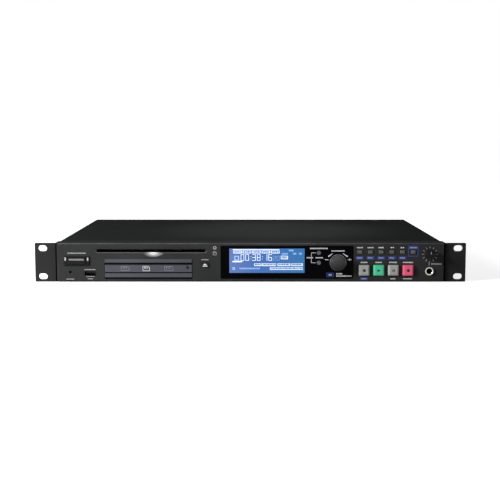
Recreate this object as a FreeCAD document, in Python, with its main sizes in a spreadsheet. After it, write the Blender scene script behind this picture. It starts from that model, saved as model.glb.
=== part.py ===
import FreeCAD, Part
import math
import os
import Sketcher
from FreeCAD import Placement, Rotation, Vector

# One-unit rack recorder with a slot-in disc drive, card slots and a front control panel.
# Millimetres. X runs to the viewer's right, Y from the front to the back, Z up.
# The origin is the middle of the chassis pan's underside.

SIZES = {
    # case
    "rack_width": 482.6,
    "panel_height": 43.66,
    "case_width": 432.0,
    "case_depth": 300.0,
    "sheet": 1.2,
    "seat": 0.1,
    "seam": 0.3,
    "cover_flange": 12.0,
    "panel_flange": 10.0,
    "vent_width": 2.6,
    "vent_height": 22.0,
    "vent_low": 10.0,
    "vent_pitch": 6.0,
    "vent_count": 14,
    "vent_inset": 30.0,
    # rack ears
    "ear_sheet": 2.5,
    "ear_flange": 20.0,
    "ear_bend": 3.0,
    "ear_corner": 1.0,
    "rack_pitch_across": 465.1,
    "rack_pitch_up": 31.75,
    "rack_slot_length": 10.0,
    "rack_slot_width": 6.8,
    "ear_screw_back": 13.0,
    "ear_screw_spread": 22.0,
    # screws
    "screw_radius": 1.5,
    "screw_play": 0.1,
    "screw_head": 2.9,
    "screw_crown": 2.1,
    "screw_rise": 1.7,
    "screw_length": 6.0,
    "cover_screw_drop": 6.5,
    "cover_screw_inset": 60.0,
    # fascia
    "fascia_wall": 3.0,
    "fascia_overhang": 0.3,
    "skirt_wall": 2.0,
    "skirt_depth": 22.0,
    "rim_depth": 9.0,
    "top_round": 1.0,
    "side_round": 0.6,
    "hole_play": 0.2,
    "post_radius": 2.0,
    # disc slot
    "slot_across": -110.75,
    "slot_up": 35.6,
    "slot_length": 123.3,
    "slot_height": 4.4,
    "slot_bevel": 0.8,
    "notch_offset": 2.1,
    "notch_width": 23.5,
    "notch_drop": 4.4,
    "notch_depth": 2.4,
    # display
    "window_left": -33.3,
    "window_right": 115.1,
    "window_low": 3.7,
    "window_high": 40.8,
    "window_corner": 1.5,
    "window_sheet": 1.5,
    "window_proud": 0.2,
    "window_play": 0.1,
    "lcd_across": 18.5,
    "lcd_up": 24.1,
    "lcd_width": 83.4,
    "lcd_height": 26.9,
    "lcd_frame": 3.0,
    "lcd_deep": 7.0,
    "lcd_recess": 0.5,
    "lcd_leg": 1.5,
    # boards behind the fascia
    "board": 1.6,
    "board_gap": 12.0,
    "board_low": 3.6,
    "board_high": 40.4,
    "board_left": -60.0,
    "board_step_across": -42.0,
    "board_step_up": 28.0,
    "board_right": 211.0,
    "jack_notch_across": 189.0,
    "jack_notch_up": 22.5,
    "side_board_left": -211.0,
    "side_board_right": -169.0,
    "side_board_high": 29.5,
    # keys
    "key_travel": 0.5,
    "key_flange": 1.0,
    "key_flange_gap": 0.1,
    "key_stem": 1.5,
    "switch_side": 6.2,
    "switch_deep": 3.5,
    "switch_plunger": 1.7,
    "switch_rise": 0.7,
    "row_left": 122.2,
    "row_pitch": 11.93,
    "row_up": 33.9,
    "row_key_width": 5.1,
    "row_key_height": 3.8,
    "row_key_proud": 1.2,
    "row_key_round": 0.5,
    "transport_left": 127.1,
    "transport_pitch": 16.35,
    "transport_up": 13.4,
    "transport_side": 11.9,
    "transport_proud": 3.4,
    "transport_bevel": 1.7,
    "round_key_across": 76.45,
    "round_key_up": 33.0,
    "round_key_drop": 11.1,
    "round_key_radius": 2.4,
    "round_key_proud": 1.3,
    "eject_across": -50.8,
    "eject_up": 19.3,
    "eject_width": 8.6,
    "eject_height": 5.2,
    "eject_proud": 1.0,
    # power switch
    "power_across": -194.2,
    "power_up": 23.75,
    "bezel_width": 28.7,
    "bezel_height": 10.4,
    "bezel_proud": 1.5,
    "bezel_round": 1.0,
    "bezel_sleeve_width": 25.0,
    "bezel_sleeve_height": 8.8,
    "power_width": 21.0,
    "power_height": 7.1,
    "power_proud": 2.6,
    "power_travel": 1.6,
    "power_flange": 0.6,
    "power_switch_width": 14.0,
    "power_switch_height": 9.0,
    "power_switch_deep": 5.5,
    # jog dial
    "jog_across": 97.8,
    "jog_up": 22.2,
    "jog_skirt_radius": 9.45,
    "jog_skirt_deep": 1.3,
    "jog_radius": 8.2,
    "jog_tip_radius": 7.1,
    "jog_long": 11.5,
    "jog_chamfer": 0.8,
    "jog_gap": 0.7,
    "jog_shaft": 2.0,
    "jog_bore_depth": 7.5,
    "jog_bushing": 3.5,
    "jog_bushing_long": 5.0,
    "jog_travel": 0.5,
    "encoder_side": 11.7,
    "encoder_deep": 6.5,
    "running_play": 0.05,
    # phones level knob and jack
    "level_across": 200.4,
    "level_up": 31.3,
    "level_radius": 5.5,
    "level_tip_radius": 5.0,
    "level_long": 8.5,
    "level_gap": 0.5,
    "level_shaft": 3.0,
    "level_bushing": 4.4,
    "level_bushing_long": 6.5,
    "level_body": 10.5,
    "level_deep": 5.0,
    "phones_across": 199.9,
    "phones_up": 12.4,
    "phones_bore": 3.25,
    "phones_ring": 4.65,
    "phones_proud": 1.2,
    "phones_body": 15.0,
    "phones_deep": 26.0,
    # usb and remote sockets
    "usb_across": -179.25,
    "usb_up": 9.5,
    "usb_width": 12.6,
    "usb_height": 5.4,
    "usb_sheet": 0.35,
    "usb_tongue_width": 11.0,
    "usb_tongue_thick": 1.8,
    "usb_tongue_back": 3.4,
    "usb_floor": 1.5,
    "remote_across": -201.5,
    "remote_up": 11.3,
    "remote_bore": 1.3,
    "remote_face_hole": 1.5,
    "remote_body": 7.0,
    # card door and slots
    "card_left": -162.7,
    "card_right": -65.3,
    "door_low": 4.6,
    "door_split_low": 10.0,
    "door_split_high": 11.3,
    "door_high": 19.9,
    "door_gap": 0.5,
    "door_drop": 1.3,
    "groove_high": 21.5,
    "bar_high": 25.9,
    "bar_proud": 0.6,
    "bar_round": 0.4,
    "door_back_gap": 0.4,
    "door_split_depth": 1.2,
    "hinge_rise": 1.5,
    "hinge_back": 1.5,
    "hinge_pin": 1.0,
    "hinge_pin_long": 2.2,
    "hinge_hole_extra": 0.3,
    "door_screw_inset": 4.9,
    "door_screw_up": 16.4,
    "door_screw_radius": 1.1,
    "door_screw_depth": 2.0,
    "unit_back": 3.0,
    "unit_deep": 48.0,
    "unit_inset": 3.0,
    "unit_high": 20.6,
    "card_up": 12.6,
    "card_slot_height": 4.8,
    "card_slot_deep": 38.0,
    "wide_card_across": -137.0,
    "wide_card_width": 43.6,
    "small_card_across": -92.0,
    "small_card_width": 25.0,
    # disc drive
    "drive_sheet": 1.0,
    "drive_width": 132.0,
    "drive_deep": 158.0,
    "drive_back": 1.6,
    "drive_low": 21.6,
    "drive_high": 40.2,
    "drive_leg": 8.0,
    "guide_wall": 2.0,
    "guide_play": 0.6,
    "disc_radius": 60.0,
    "disc_inset": 10.0,
    "roller_radius": 3.0,
    "roller_waist": 2.5,
    "roller_axle": 1.1,
    "roller_back": 5.5,
    "roller_drop": 5.4,
    "lift_travel": 3.0,
    "lift_sheet": 1.2,
    "lift_gap": 0.9,
    "lift_width": 68.0,
    "lift_front": 20.0,
    "lift_rear": 68.0,
    "lift_post": 2.0,
    "lift_post_inset": 4.0,
    "lift_post_spare": 3.4,
    "platter_radius": 14.0,
    "platter_low": 30.6,
    "platter_sheet": 1.0,
    "hub_radius": 7.4,
    "hub_high": 1.4,
    "spindle_radius": 1.0,
    "motor_radius": 11.0,
    "rod_radius": 1.5,
    "rod_spread": 22.0,
    "rod_up": 28.4,
    "rod_wall": 2.0,
    "sled_start": 13.0,
    "sled_long": 24.0,
    "sled_travel": 26.0,
    "sled_low": 26.4,
    "sled_high": 30.4,
    "sled_fork": 0.3,
    "lens_radius": 3.0,
    "lens_high": 0.5,
    "clamp_radius": 15.0,
    "clamp_low": 38.2,
    "clamp_sheet": 1.0,
    "clamp_stem": 6.0,
    "clamp_cap": 9.0,
    "clamp_cap_sheet": 0.6,
    # boards on the floor
    "standoff_radius": 2.6,
    "standoff_high": 7.0,
    "main_left": -34.0,
    "main_right": 206.0,
    "main_front": -112.0,
    "rear_clear": 22.0,
    "supply_left": -206.0,
    "supply_right": -46.0,
    "supply_gap": 10.8,
    "supply_back": 120.0,
    "board_inset": 6.0,
    "chip_side": 20.0,
    "chip_high": 2.4,
    "coil_side": 34.0,
    "coil_high": 22.0,
    "can_radius": 8.0,
    "can_high": 24.0,
    "can_pitch": 20.0,
    # rear sockets
    "rear_up": 21.0,
    "inlet_across": -178.0,
    "inlet_width": 30.0,
    "inlet_height": 24.0,
    "inlet_lip": 2.5,
    "inlet_body_width": 27.0,
    "inlet_body_height": 20.0,
    "inlet_deep": 22.0,
    "inlet_mouth_width": 24.0,
    "inlet_mouth_height": 16.4,
    "inlet_mouth_deep": 18.0,
    "blade_thick": 2.0,
    "blade_wide": 4.0,
    "blade_long": 12.0,
    "blade_spread": 7.0,
    "blade_rise": 2.0,
    "plate_width": 26.0,
    "plate_height": 31.0,
    "plate_sheet": 1.6,
    "shell_radius": 11.8,
    "shell_deep": 20.0,
    "shell_cup": 9.6,
    "shell_cup_deep": 14.0,
    "insert_radius": 7.4,
    "contact_radius": 1.2,
    "contact_circle": 4.7,
    "contact_back": 2.0,
    "input_across": 195.0,
    "output_across": 137.0,
    "shell_pitch": 29.0,
    "phono_across": 52.0,
    "phono_pitch": 14.5,
    "phono_rows": 2,
    "phono_columns": 3,
    "phono_barrel": 4.15,
    "phono_long": 8.6,
    "phono_bore": 1.7,
    "phono_bore_deep": 8.0,
    "phono_block_deep": 12.0,
    "phono_border": 7.0,
    "sync_across": 19.0,
    "sync_barrel": 4.8,
    "sync_long": 10.0,
    "sync_bore": 4.0,
    "sync_pin": 0.8,
    "sync_collar": 6.4,
    "sync_collar_long": 2.0,
    "sync_deep": 8.0,
    "wide_port_across": -24.0,
    "wide_port_width": 38.4,
    "narrow_port_across": -84.0,
    "narrow_port_width": 16.4,
    "port_height": 8.0,
    "port_slope": 0.9,
    "port_long": 5.8,
    "port_lip": 1.0,
    "port_deep": 8.0,
    "port_ear": 7.2,
    "port_nut": 2.6,
    "port_nut_long": 4.4,
}

FRONT_POSTS = ((-56.0, 7.0), (-37.0, 37.0), (118.0, 25.6), (187.0, 7.0), (208.6, 37.6))
SIDE_POSTS = ((-208.6, 26.4), (-172.2, 25.6), (-208.6, 6.6))

document = FreeCAD.newDocument("disc_recorder")
sheet = document.addObject("Spreadsheet::Sheet", "Sizes")
for row, (alias, number) in enumerate(SIZES.items(), start=1):
    sheet.set(f"A{row}", alias)
    sheet.set(f"B{row}", str(number))
    sheet.setAlias(f"B{row}", alias)
document.recompute()


class Size:
    """A length together with the expression that gives it, so one formula serves both."""

    def __init__(self, value, text):
        self.value = float(value)
        self.text = text

    def joined(self, other, sign, value):
        other_text = other.text if isinstance(other, Size) else str(other)
        return Size(value, f"({self.text} {sign} {other_text})")

    def __add__(self, other):
        return self.joined(other, "+", self.value + float(other))

    def __sub__(self, other):
        return self.joined(other, "-", self.value - float(other))

    def __mul__(self, other):
        return self.joined(other, "*", self.value * float(other))

    def __truediv__(self, other):
        return self.joined(other, "/", self.value / float(other))

    def __rmul__(self, other):
        return self * other

    def __radd__(self, other):
        return self + other

    def __neg__(self):
        return Size(-self.value, f"(-1 * {self.text})")

    def __float__(self):
        return self.value


class Cells:
    """The sheet's cells, read by name."""

    def __getattr__(self, name):
        return Size(SIZES[name], f"Sizes.{name}")


s = Cells()
nodes = []


def angle_of(opposite, hypotenuse):
    """Angle in degrees whose sine is the one length over the other."""
    sine = opposite / hypotenuse
    return Size(math.degrees(math.asin(sine.value)), f"asin({sine.text})")


def bind(thing, prop, size):
    """Tie one property to its expression."""
    thing.setExpression(prop, size.text if isinstance(size, Size) else str(size))


def keep(thing, label):
    """Make an object one of the named pieces."""
    thing.Label = label
    nodes.append(thing)
    return thing


# Outlines: each one draws itself in a sketch, held by its distances from the sketch's origin.

def hold(sketch, curve, point, place):
    """Hold one point of a curve at a place."""
    for kind, distance in zip(("DistanceX", "DistanceY"), place):
        index = sketch.addConstraint(Sketcher.Constraint(kind, -1, 1, curve, point, float(distance)))
        bind(sketch, f"Constraints[{index}]", distance)


def spot(place):
    return Vector(float(place[0]), float(place[1]), 0)


def polygon(*corners):
    """Closed outline of straight lines through the corners."""
    def draw(sketch):
        first = sketch.GeometryCount
        ends = corners[1:] + corners[:1]
        sketch.addGeometry([Part.LineSegment(spot(a), spot(b)) for a, b in zip(corners, ends)], False)
        for step, corner in enumerate(corners):
            after = first + (step + 1) % len(corners)
            sketch.addConstraint(Sketcher.Constraint("Coincident", first + step, 2, after, 1))
            hold(sketch, first + step, 1, corner)
    return draw


def rectangle(centre, width, height):
    """Rectangle about its centre."""
    left, right = centre[0] - width / 2, centre[0] + width / 2
    low, high = centre[1] - height / 2, centre[1] + height / 2
    return polygon((left, low), (right, low), (right, high), (left, high))


def span(left, low, right, high):
    """Rectangle between two opposite corners."""
    return polygon((left, low), (right, low), (right, high), (left, high))


def circle(centre, radius):
    def draw(sketch):
        curve = sketch.addGeometry(Part.Circle(spot(centre), Vector(0, 0, 1), float(radius)), False)
        hold(sketch, curve, 3, centre)
        index = sketch.addConstraint(Sketcher.Constraint("Radius", curve, float(radius)))
        bind(sketch, f"Constraints[{index}]", radius)
    return draw


def part_circle(sketch, centre, radius, start, sweep):
    """An arc whose start and sweep are counted in quarter turns."""
    whole = Part.Circle(spot(centre), Vector(0, 0, 1), float(radius))
    quarter = math.pi / 2
    arc = Part.ArcOfCircle(whole, start * quarter, (start + sweep) * quarter)
    curve = sketch.addGeometry(arc, False)
    hold(sketch, curve, 3, centre)
    index = sketch.addConstraint(Sketcher.Constraint("Radius", curve, float(radius)))
    bind(sketch, f"Constraints[{index}]", radius)
    return curve


def joined_arcs(sketch, centres, radius, sweep):
    """Arcs one after another round an outline, joined by the lines that touch both."""
    arcs = [part_circle(sketch, centre, radius, start, sweep) for start, centre in centres]
    for step, arc in enumerate(arcs):
        after = arcs[(step + 1) % len(arcs)]
        ends = [sketch.getPoint(arc, 2), sketch.getPoint(after, 1)]
        line = sketch.addGeometry(Part.LineSegment(*ends), False)
        sketch.addConstraint(Sketcher.Constraint("Tangent", arc, 2, line, 1))
        sketch.addConstraint(Sketcher.Constraint("Tangent", line, 2, after, 1))


def rounded(centre, width, height, radius):
    """Rectangle with four round corners."""
    across, up = width / 2 - radius, height / 2 - radius
    x, y = centre
    centres = ((0, (x + across, y + up)), (1, (x - across, y + up)),
               (2, (x - across, y - up)), (3, (x + across, y - up)))
    return lambda sketch: joined_arcs(sketch, centres, radius, 1)


def stadium(centre, length, width):
    """Slot with half-round ends, lying along the first direction."""
    x, y = centre
    reach = length / 2 - width / 2
    centres = ((3, (x + reach, y)), (1, (x - reach, y)))
    return lambda sketch: joined_arcs(sketch, centres, width / 2, 2)


# Bodies made of features.

PLANES = {"XY": ("XY_Plane", 1), "XZ": ("XZ_Plane", -1), "YZ": ("YZ_Plane", 1)}


def edge_at(x=None, y=None, z=None):
    """Test for edges that lie at a coordinate, or between two, along each axis that is given."""
    wanted = [(axis, limits) for axis, limits in zip("XYZ", (x, y, z)) if limits is not None]
    near = 0.01

    def test(edge):
        box = edge.BoundBox
        for axis, limits in wanted:
            low, high = limits if isinstance(limits, tuple) else (limits, limits)
            if getattr(box, axis + "Min") < float(low) - near:
                return False
            if getattr(box, axis + "Max") > float(high) + near:
                return False
        return True
    return test


class Piece:
    """A body built up feature by feature from sketches on its own origin planes."""

    def __init__(self, label, named=True):
        self.body = document.addObject("PartDesign::Body", label)
        if named:
            keep(self.body, label)

    def origin(self, role):
        return [thing for thing in self.body.Origin.OriginFeatures if thing.Role == role][0]

    def feature(self, kind, suffix):
        return self.body.newObject(kind, f"{self.body.Name}_{suffix}")

    def sketch(self, plane, at, outlines):
        role, sign = PLANES[plane]
        sketch = self.feature("Sketcher::SketchObject", "outline")
        sketch.AttachmentSupport = [(self.origin(role), "")]
        sketch.MapMode = "FlatFace"
        bind(sketch, "AttachmentOffset.Base.z", sign * at)
        for outline in outlines:
            outline(sketch)
        return sketch

    def pad(self, plane, start, end, *outlines):
        """Add material from one coordinate along the plane's normal to a higher one."""
        pad = self.feature("PartDesign::Pad", "pad")
        pad.Profile = self.sketch(plane, start, outlines)
        bind(pad, "Length", end - start)
        pad.Reversed = PLANES[plane][1] < 0
        return pad

    def pocket(self, plane, start, end, *outlines):
        """Take material away between two coordinates along the plane's normal."""
        pocket = self.feature("PartDesign::Pocket", "pocket")
        pocket.Profile = self.sketch(plane, start, outlines)
        bind(pocket, "Length", end - start)
        pocket.Reversed = PLANES[plane][1] > 0
        return pocket

    def turned(self, kind, plane, at, axis, profile, angle=360):
        """Revolve or groove a profile about a line given by two points of the sketch."""
        turned = self.feature(f"PartDesign::{kind}", kind.lower())
        sketch = self.sketch(plane, at, [profile])
        line = sketch.addGeometry(Part.LineSegment(spot(axis[0]), spot(axis[1])), True)
        hold(sketch, line, 1, axis[0])
        hold(sketch, line, 2, axis[1])
        turned.Profile = sketch
        turned.ReferenceAxis = (sketch, ["Axis0"])
        bind(turned, "Angle", angle)
        turned.Midplane = True
        return turned

    def row(self, original, role, step, count):
        """Repeat a feature along an origin axis."""
        pattern = self.feature("PartDesign::LinearPattern", "row")
        pattern.Originals = [original]
        pattern.Direction = (self.origin(role), [""])
        bind(pattern, "Length", step * (count - 1))
        bind(pattern, "Occurrences", count)
        self.body.Tip = pattern
        return pattern

    def dress(self, kind, prop, size, *tests):
        """Fillet or chamfer the edges that pass one of the tests."""
        document.recompute()
        base = self.body.Tip
        edges = [f"Edge{number}" for number, edge in enumerate(base.Shape.Edges, start=1)
                 if any(test(edge) for test in tests)]
        if not edges:
            raise ValueError(f"{self.body.Label}: no edge for its {kind}")
        dressed = self.feature(f"PartDesign::{kind}", kind.lower())
        dressed.Base = (base, edges)
        bind(dressed, prop, size)
        return dressed

    def fillet(self, radius, *tests):
        return self.dress("Fillet", "Radius", radius, *tests)

    def chamfer(self, size, *tests):
        return self.dress("Chamfer", "Size", size, *tests)


# Solids made of primitives.

TURNS = {"x": Rotation(Vector(0, 1, 0), 90), "y": Rotation(Vector(1, 0, 0), -90), "z": Rotation()}


def place(thing, corner):
    for letter, distance in zip("xyz", corner):
        bind(thing, f"Placement.Base.{letter}", distance)
    return thing


def block(low, high):
    """Block between two opposite corners."""
    thing = document.addObject("Part::Box", "block")
    for prop, a, b in zip(("Length", "Width", "Height"), low, high):
        bind(thing, prop, b - a)
    return place(thing, low)


def rod(axis, start, radius, length):
    """Cylinder from a point along a positive axis."""
    thing = document.addObject("Part::Cylinder", "rod")
    thing.Placement = Placement(Vector(), TURNS[axis])
    bind(thing, "Radius", radius)
    bind(thing, "Height", length)
    return place(thing, start)


def taper(axis, start, radius, end_radius, length):
    """Cone from a point along a positive axis."""
    thing = document.addObject("Part::Cone", "taper")
    thing.Placement = Placement(Vector(), TURNS[axis])
    bind(thing, "Radius1", radius)
    bind(thing, "Radius2", end_radius)
    bind(thing, "Height", length)
    return place(thing, start)


def fuse(*things):
    whole = document.addObject("Part::MultiFuse", "whole")
    whole.Shapes = list(things)
    return whole


def group(things):
    """Separate solids kept together."""
    whole = document.addObject("Part::Compound", "group")
    whole.Links = list(things)
    return whole


def cut(base, *tools):
    result = document.addObject("Part::Cut", "cut")
    result.Base = base
    result.Tool = tools[0] if len(tools) == 1 else fuse(*tools)
    return result


# Levels that several pieces share.

half_case = s.case_width / 2
half_rack = s.rack_width / 2
front = -s.case_depth / 2
back = s.case_depth / 2
face = front - s.fascia_wall
top = s.panel_height
wall_top = top - s.sheet
board_front = front + s.board_gap
board_back = board_front + s.board
panel_front = back - s.sheet
rim_top = s.sheet + s.skirt_wall
key_back = board_front - s.switch_deep - s.switch_rise - s.key_travel - s.seat


# Case.

def screw_places():
    """Where the side screws of the ears and of the cover sit: Y and Z, ears first."""
    ear_y = front + s.ear_screw_back
    ears = [(ear_y, top / 2 - s.ear_screw_spread / 2), (ear_y, top / 2 + s.ear_screw_spread / 2)]
    cover_z = top - s.cover_screw_drop
    covers = [(front + s.cover_screw_inset, cover_z), (back - s.cover_screw_inset, cover_z)]
    return ears, covers


def chassis_pan():
    pan = Piece("chassis_pan")
    inner = half_case - s.sheet
    pan.pad("XZ", front, back, polygon(
        (-half_case, 0), (half_case, 0), (half_case, wall_top), (inner, wall_top),
        (inner, s.sheet), (-inner, s.sheet), (-inner, wall_top), (-half_case, wall_top)))
    step = front + s.skirt_depth + s.seam
    pan.pocket("YZ", -half_case, half_case, span(front, top - s.skirt_wall, step, top))
    ears, covers = screw_places()
    hole = s.screw_radius + s.screw_play
    pan.pocket("YZ", -half_case, half_case, *[circle(spot_yz, hole) for spot_yz in ears + covers])
    last = back - s.vent_inset
    first = last - s.vent_pitch * (s.vent_count - 1)
    low = s.vent_low
    vent = pan.pocket("YZ", -half_case, half_case, span(
        first, low, first + s.vent_width, low + s.vent_height))
    pan.row(vent, "Y_Axis", s.vent_pitch, s.vent_count)


def top_cover():
    cover = Piece("top_cover")
    outer = half_case - s.sheet - s.seat
    inner = outer - s.sheet
    low = top - s.cover_flange
    cover.pad("XZ", front + s.skirt_depth + s.seam, back, polygon(
        (-half_case, top), (-half_case, wall_top), (-outer, wall_top), (-outer, low), (-inner, low),
        (-inner, wall_top), (inner, wall_top), (inner, low), (outer, low), (outer, wall_top),
        (half_case, wall_top), (half_case, top)))
    hole = s.screw_radius + s.screw_play
    cover.pocket("YZ", -half_case, half_case, *[circle(spot_yz, hole) for spot_yz in screw_places()[1]])
    cover.pocket("YZ", -half_case, half_case, span(panel_front - s.seat, low, back, wall_top))


def rack_ear(side):
    ear = Piece("left_rack_ear" if side < 0 else "right_rack_ear")
    low, high = (0, s.panel_height)
    bend = front + s.ear_sheet
    ear.pad("XY", low, high, polygon(
        (side * half_case, front), (side * half_rack, front), (side * half_rack, bend),
        (side * (half_case + s.ear_sheet), bend),
        (side * (half_case + s.ear_sheet), front + s.ear_flange),
        (side * half_case, front + s.ear_flange)))
    slots = []
    for level in (-1, 1):
        centre = (side * s.rack_pitch_across / 2, top / 2 + level * s.rack_pitch_up / 2)
        slots.append(stadium(centre, s.rack_slot_length, s.rack_slot_width))
    ear.pocket("XZ", front, bend, *slots)
    hole = s.screw_radius + s.screw_play
    reach = sorted([side * half_case, side * (half_case + s.ear_sheet)], key=float)
    ear.pocket("YZ", reach[0], reach[1], *[circle(spot_yz, hole) for spot_yz in screw_places()[0]])
    ear.fillet(s.ear_bend, edge_at(x=side * half_case, y=front, z=(low, high)))
    ear.fillet(s.ear_corner, edge_at(x=side * half_rack, y=(front, bend), z=low),
               edge_at(x=side * half_rack, y=(front, bend), z=high))


def side_screw(side, seat_at, place_yz):
    """Pan-head screw driven in from the left or right side."""
    if side < 0:
        start = -seat_at - s.screw_rise
        head = taper("x", (start, *place_yz), s.screw_crown, s.screw_head, s.screw_rise)
        shank = rod("x", (-seat_at, *place_yz), s.screw_radius, s.screw_length)
    else:
        head = taper("x", (seat_at, *place_yz), s.screw_head, s.screw_crown, s.screw_rise)
        shank = rod("x", (seat_at - s.screw_length, *place_yz), s.screw_radius, s.screw_length)
    return fuse(head, shank)


def case_screws():
    ears, covers = screw_places()
    ear_seat = half_case + s.ear_sheet
    keep(group([side_screw(side, ear_seat, yz) for side in (-1, 1) for yz in ears]), "ear_screws")
    keep(group([side_screw(side, half_case, yz) for side in (-1, 1) for yz in covers]), "cover_screws")


# Fascia and the places of everything in it.

def row_keys():
    """Centres of the small keys in the upper row."""
    return [(s.row_left + s.row_pitch * step, s.row_up) for step in range(6)]


def transport_keys():
    """Centres of the square keys."""
    return [(s.transport_left + s.transport_pitch * step, s.transport_up) for step in range(4)]


def round_keys():
    """Centres of the two round keys, the upper one first."""
    return [(s.round_key_across, s.round_key_up), (s.round_key_across, s.round_key_up - s.round_key_drop)]


eject_key = (s.eject_across, s.eject_up)
power_key = (s.power_across, s.power_up)
jog_axis = (s.jog_across, s.jog_up)
level_axis = (s.level_across, s.level_up)
phones_axis = (s.phones_across, s.phones_up)
usb_axis = (s.usb_across, s.usb_up)
remote_axis = (s.remote_across, s.remote_up)
slot_axis = (s.slot_across, s.slot_up)
hinge_axis = (face + s.hinge_back, s.door_low + s.hinge_rise)
window_centre = ((s.window_left + s.window_right) / 2, (s.window_low + s.window_high) / 2)
window_width = s.window_right - s.window_left
window_height = s.window_high - s.window_low
lcd_centre = (s.lcd_across, s.lcd_up)
lcd_case = (s.lcd_width + 2 * s.lcd_frame, s.lcd_height + 2 * s.lcd_frame)
unit_left = s.card_left + s.unit_inset
unit_right = s.card_right - s.unit_inset


def wider(size, play):
    return size + 2 * play


def fascia_shell(fascia):
    """Front wall, top skirt and the rim that stands inside the pan."""
    edge = half_case + s.fascia_overhang
    fascia.pad("XZ", face, front, span(-edge, s.sheet, edge, top))
    fascia.fillet(s.side_round, edge_at(x=-edge, y=face), edge_at(x=edge, y=face),
                  edge_at(y=face, z=s.sheet))
    fascia.fillet(s.top_round, edge_at(y=face, z=top))
    fascia.pad("XZ", front, front + s.skirt_depth, span(-half_case, top - s.skirt_wall, half_case, top))
    outer = half_case - s.sheet - s.seat
    inner = outer - s.skirt_wall
    floor = rim_top
    under = top - s.skirt_wall
    fascia.pad("XZ", front, front + s.rim_depth, polygon(
        (-outer, under), (-outer, s.sheet), (outer, s.sheet), (outer, under), (inner, under),
        (inner, floor), (-inner, floor), (-inner, under)))
    posts = [circle(centre, s.post_radius) for centre in FRONT_POSTS + SIDE_POSTS]
    fascia.pad("XZ", front, board_front, *posts)


def fascia_slot(fascia):
    """Disc slot with its bevelled lip and the thumb notch under it."""
    fascia.pocket("XZ", face, front, stadium(slot_axis, s.slot_length, s.slot_height))
    low, high = slot_axis[1] - s.slot_height / 2, slot_axis[1] + s.slot_height / 2
    reach = s.slot_length / 2
    fascia.chamfer(s.slot_bevel, edge_at(
        x=(slot_axis[0] - reach, slot_axis[0] + reach), y=face, z=(low, high)))
    chord = s.notch_width / 2
    radius = (chord * chord + s.notch_drop * s.notch_drop) / (2 * s.notch_drop)
    lip = low - s.slot_bevel
    middle = lip - s.notch_drop + radius
    before = face - s.fascia_wall
    profile = polygon((face, middle - radius), (face + s.notch_depth, lip), (before, lip),
                      (before, middle - radius))
    at = slot_axis[0] + s.notch_offset
    spread = 2 * angle_of(chord, radius)
    fascia.turned("Groove", "YZ", at, ((before, middle), (face, middle)), profile, spread)


def fascia_openings(fascia):
    """Cut-outs for the keys, sockets, knobs and the power switch."""
    play = s.hole_play
    cuts = [rectangle(centre, wider(s.row_key_width, play), wider(s.row_key_height, play))
            for centre in row_keys()]
    side = wider(s.transport_side, play)
    cuts += [rectangle(centre, side, side) for centre in transport_keys()]
    cuts += [circle(centre, s.round_key_radius + play) for centre in round_keys()]
    cuts.append(rectangle(eject_key, wider(s.eject_width, play), wider(s.eject_height, play)))
    cuts.append(rectangle(
        power_key, wider(s.bezel_sleeve_width, s.seat), wider(s.bezel_sleeve_height, s.seat)))
    cuts.append(rectangle(usb_axis, s.usb_width, s.usb_height))
    cuts.append(circle(remote_axis, s.remote_face_hole))
    cuts.append(circle(phones_axis, s.phones_ring + s.seat))
    cuts.append(circle(level_axis, s.level_shaft + play))
    cuts.append(circle(jog_axis, s.jog_shaft + 2 * play))
    cuts.append(rectangle(lcd_centre, wider(lcd_case[0], play), wider(lcd_case[1], play)))
    fascia.pocket("XZ", face, front, *cuts)
    fascia.pocket("XZ", face, face + s.window_sheet, rounded(
        window_centre, wider(window_width, s.window_play), wider(window_height, s.window_play),
        s.window_corner + s.window_play))


def fascia_card_bay(fascia):
    """Door opening, the bar above it and the holes for the door's hinge pins."""
    left, right = s.card_left - s.door_gap, s.card_right + s.door_gap
    fascia.pocket("XZ", face, front, span(left, s.door_low - s.door_drop, right, s.groove_high))
    fascia.pad("XZ", face - s.bar_proud, face, span(s.card_left, s.groove_high, s.card_right, s.bar_high))
    fascia.fillet(s.bar_round, edge_at(x=(s.card_left, s.card_right), y=face - s.bar_proud,
                                       z=(s.groove_high, s.bar_high)))
    reach = s.hinge_pin_long + s.hinge_hole_extra
    hole = circle(hinge_axis, s.hinge_pin + s.running_play)
    fascia.pocket("YZ", s.card_left - reach, left, hole)
    fascia.pocket("YZ", right, s.card_right + reach, hole)


def front_fascia():
    fascia = Piece("front_fascia")
    fascia_shell(fascia)
    fascia_slot(fascia)
    fascia_openings(fascia)
    fascia_card_bay(fascia)


def display_window():
    window = Piece("display_window")
    low, high = face - s.window_proud, face + s.window_sheet
    play = s.hole_play
    window.pad("XZ", low, high, rounded(window_centre, window_width, window_height, s.window_corner),
               *[circle(centre, s.round_key_radius + play) for centre in round_keys()],
               circle(jog_axis, s.jog_shaft + 2 * play))


def lcd_module():
    """Display glass in its frame, on four legs that stand on the board."""
    lcd = Piece("lcd_module")
    near = face + s.window_sheet
    far = near + s.lcd_deep
    lcd.pad("XZ", near, far, rectangle(lcd_centre, *lcd_case))
    lcd.pocket("XZ", near, near + s.lcd_recess, rectangle(lcd_centre, s.lcd_width, s.lcd_height))
    across, up = s.lcd_width / 2, s.lcd_height / 2
    legs = [circle((lcd_centre[0] + x * across, lcd_centre[1] + z * up), s.lcd_leg)
            for x in (-1, 1) for z in (-1, 1)]
    lcd.pad("XZ", far, board_front, *legs)


# Keys, knobs and what they work.

def push_key(label, outline, proud, flange, edge):
    """Cap, retaining flange behind the fascia and a stem towards its switch."""
    key = Piece(label)
    centre, grow = flange
    flange_front = front + s.key_flange_gap
    key.pad("XZ", face - proud, flange_front, outline)
    edge(key)
    key.pad("XZ", flange_front, flange_front + s.key_flange, grow)
    key.pad("XZ", flange_front + s.key_flange, key_back, circle(centre, s.key_stem))


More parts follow.
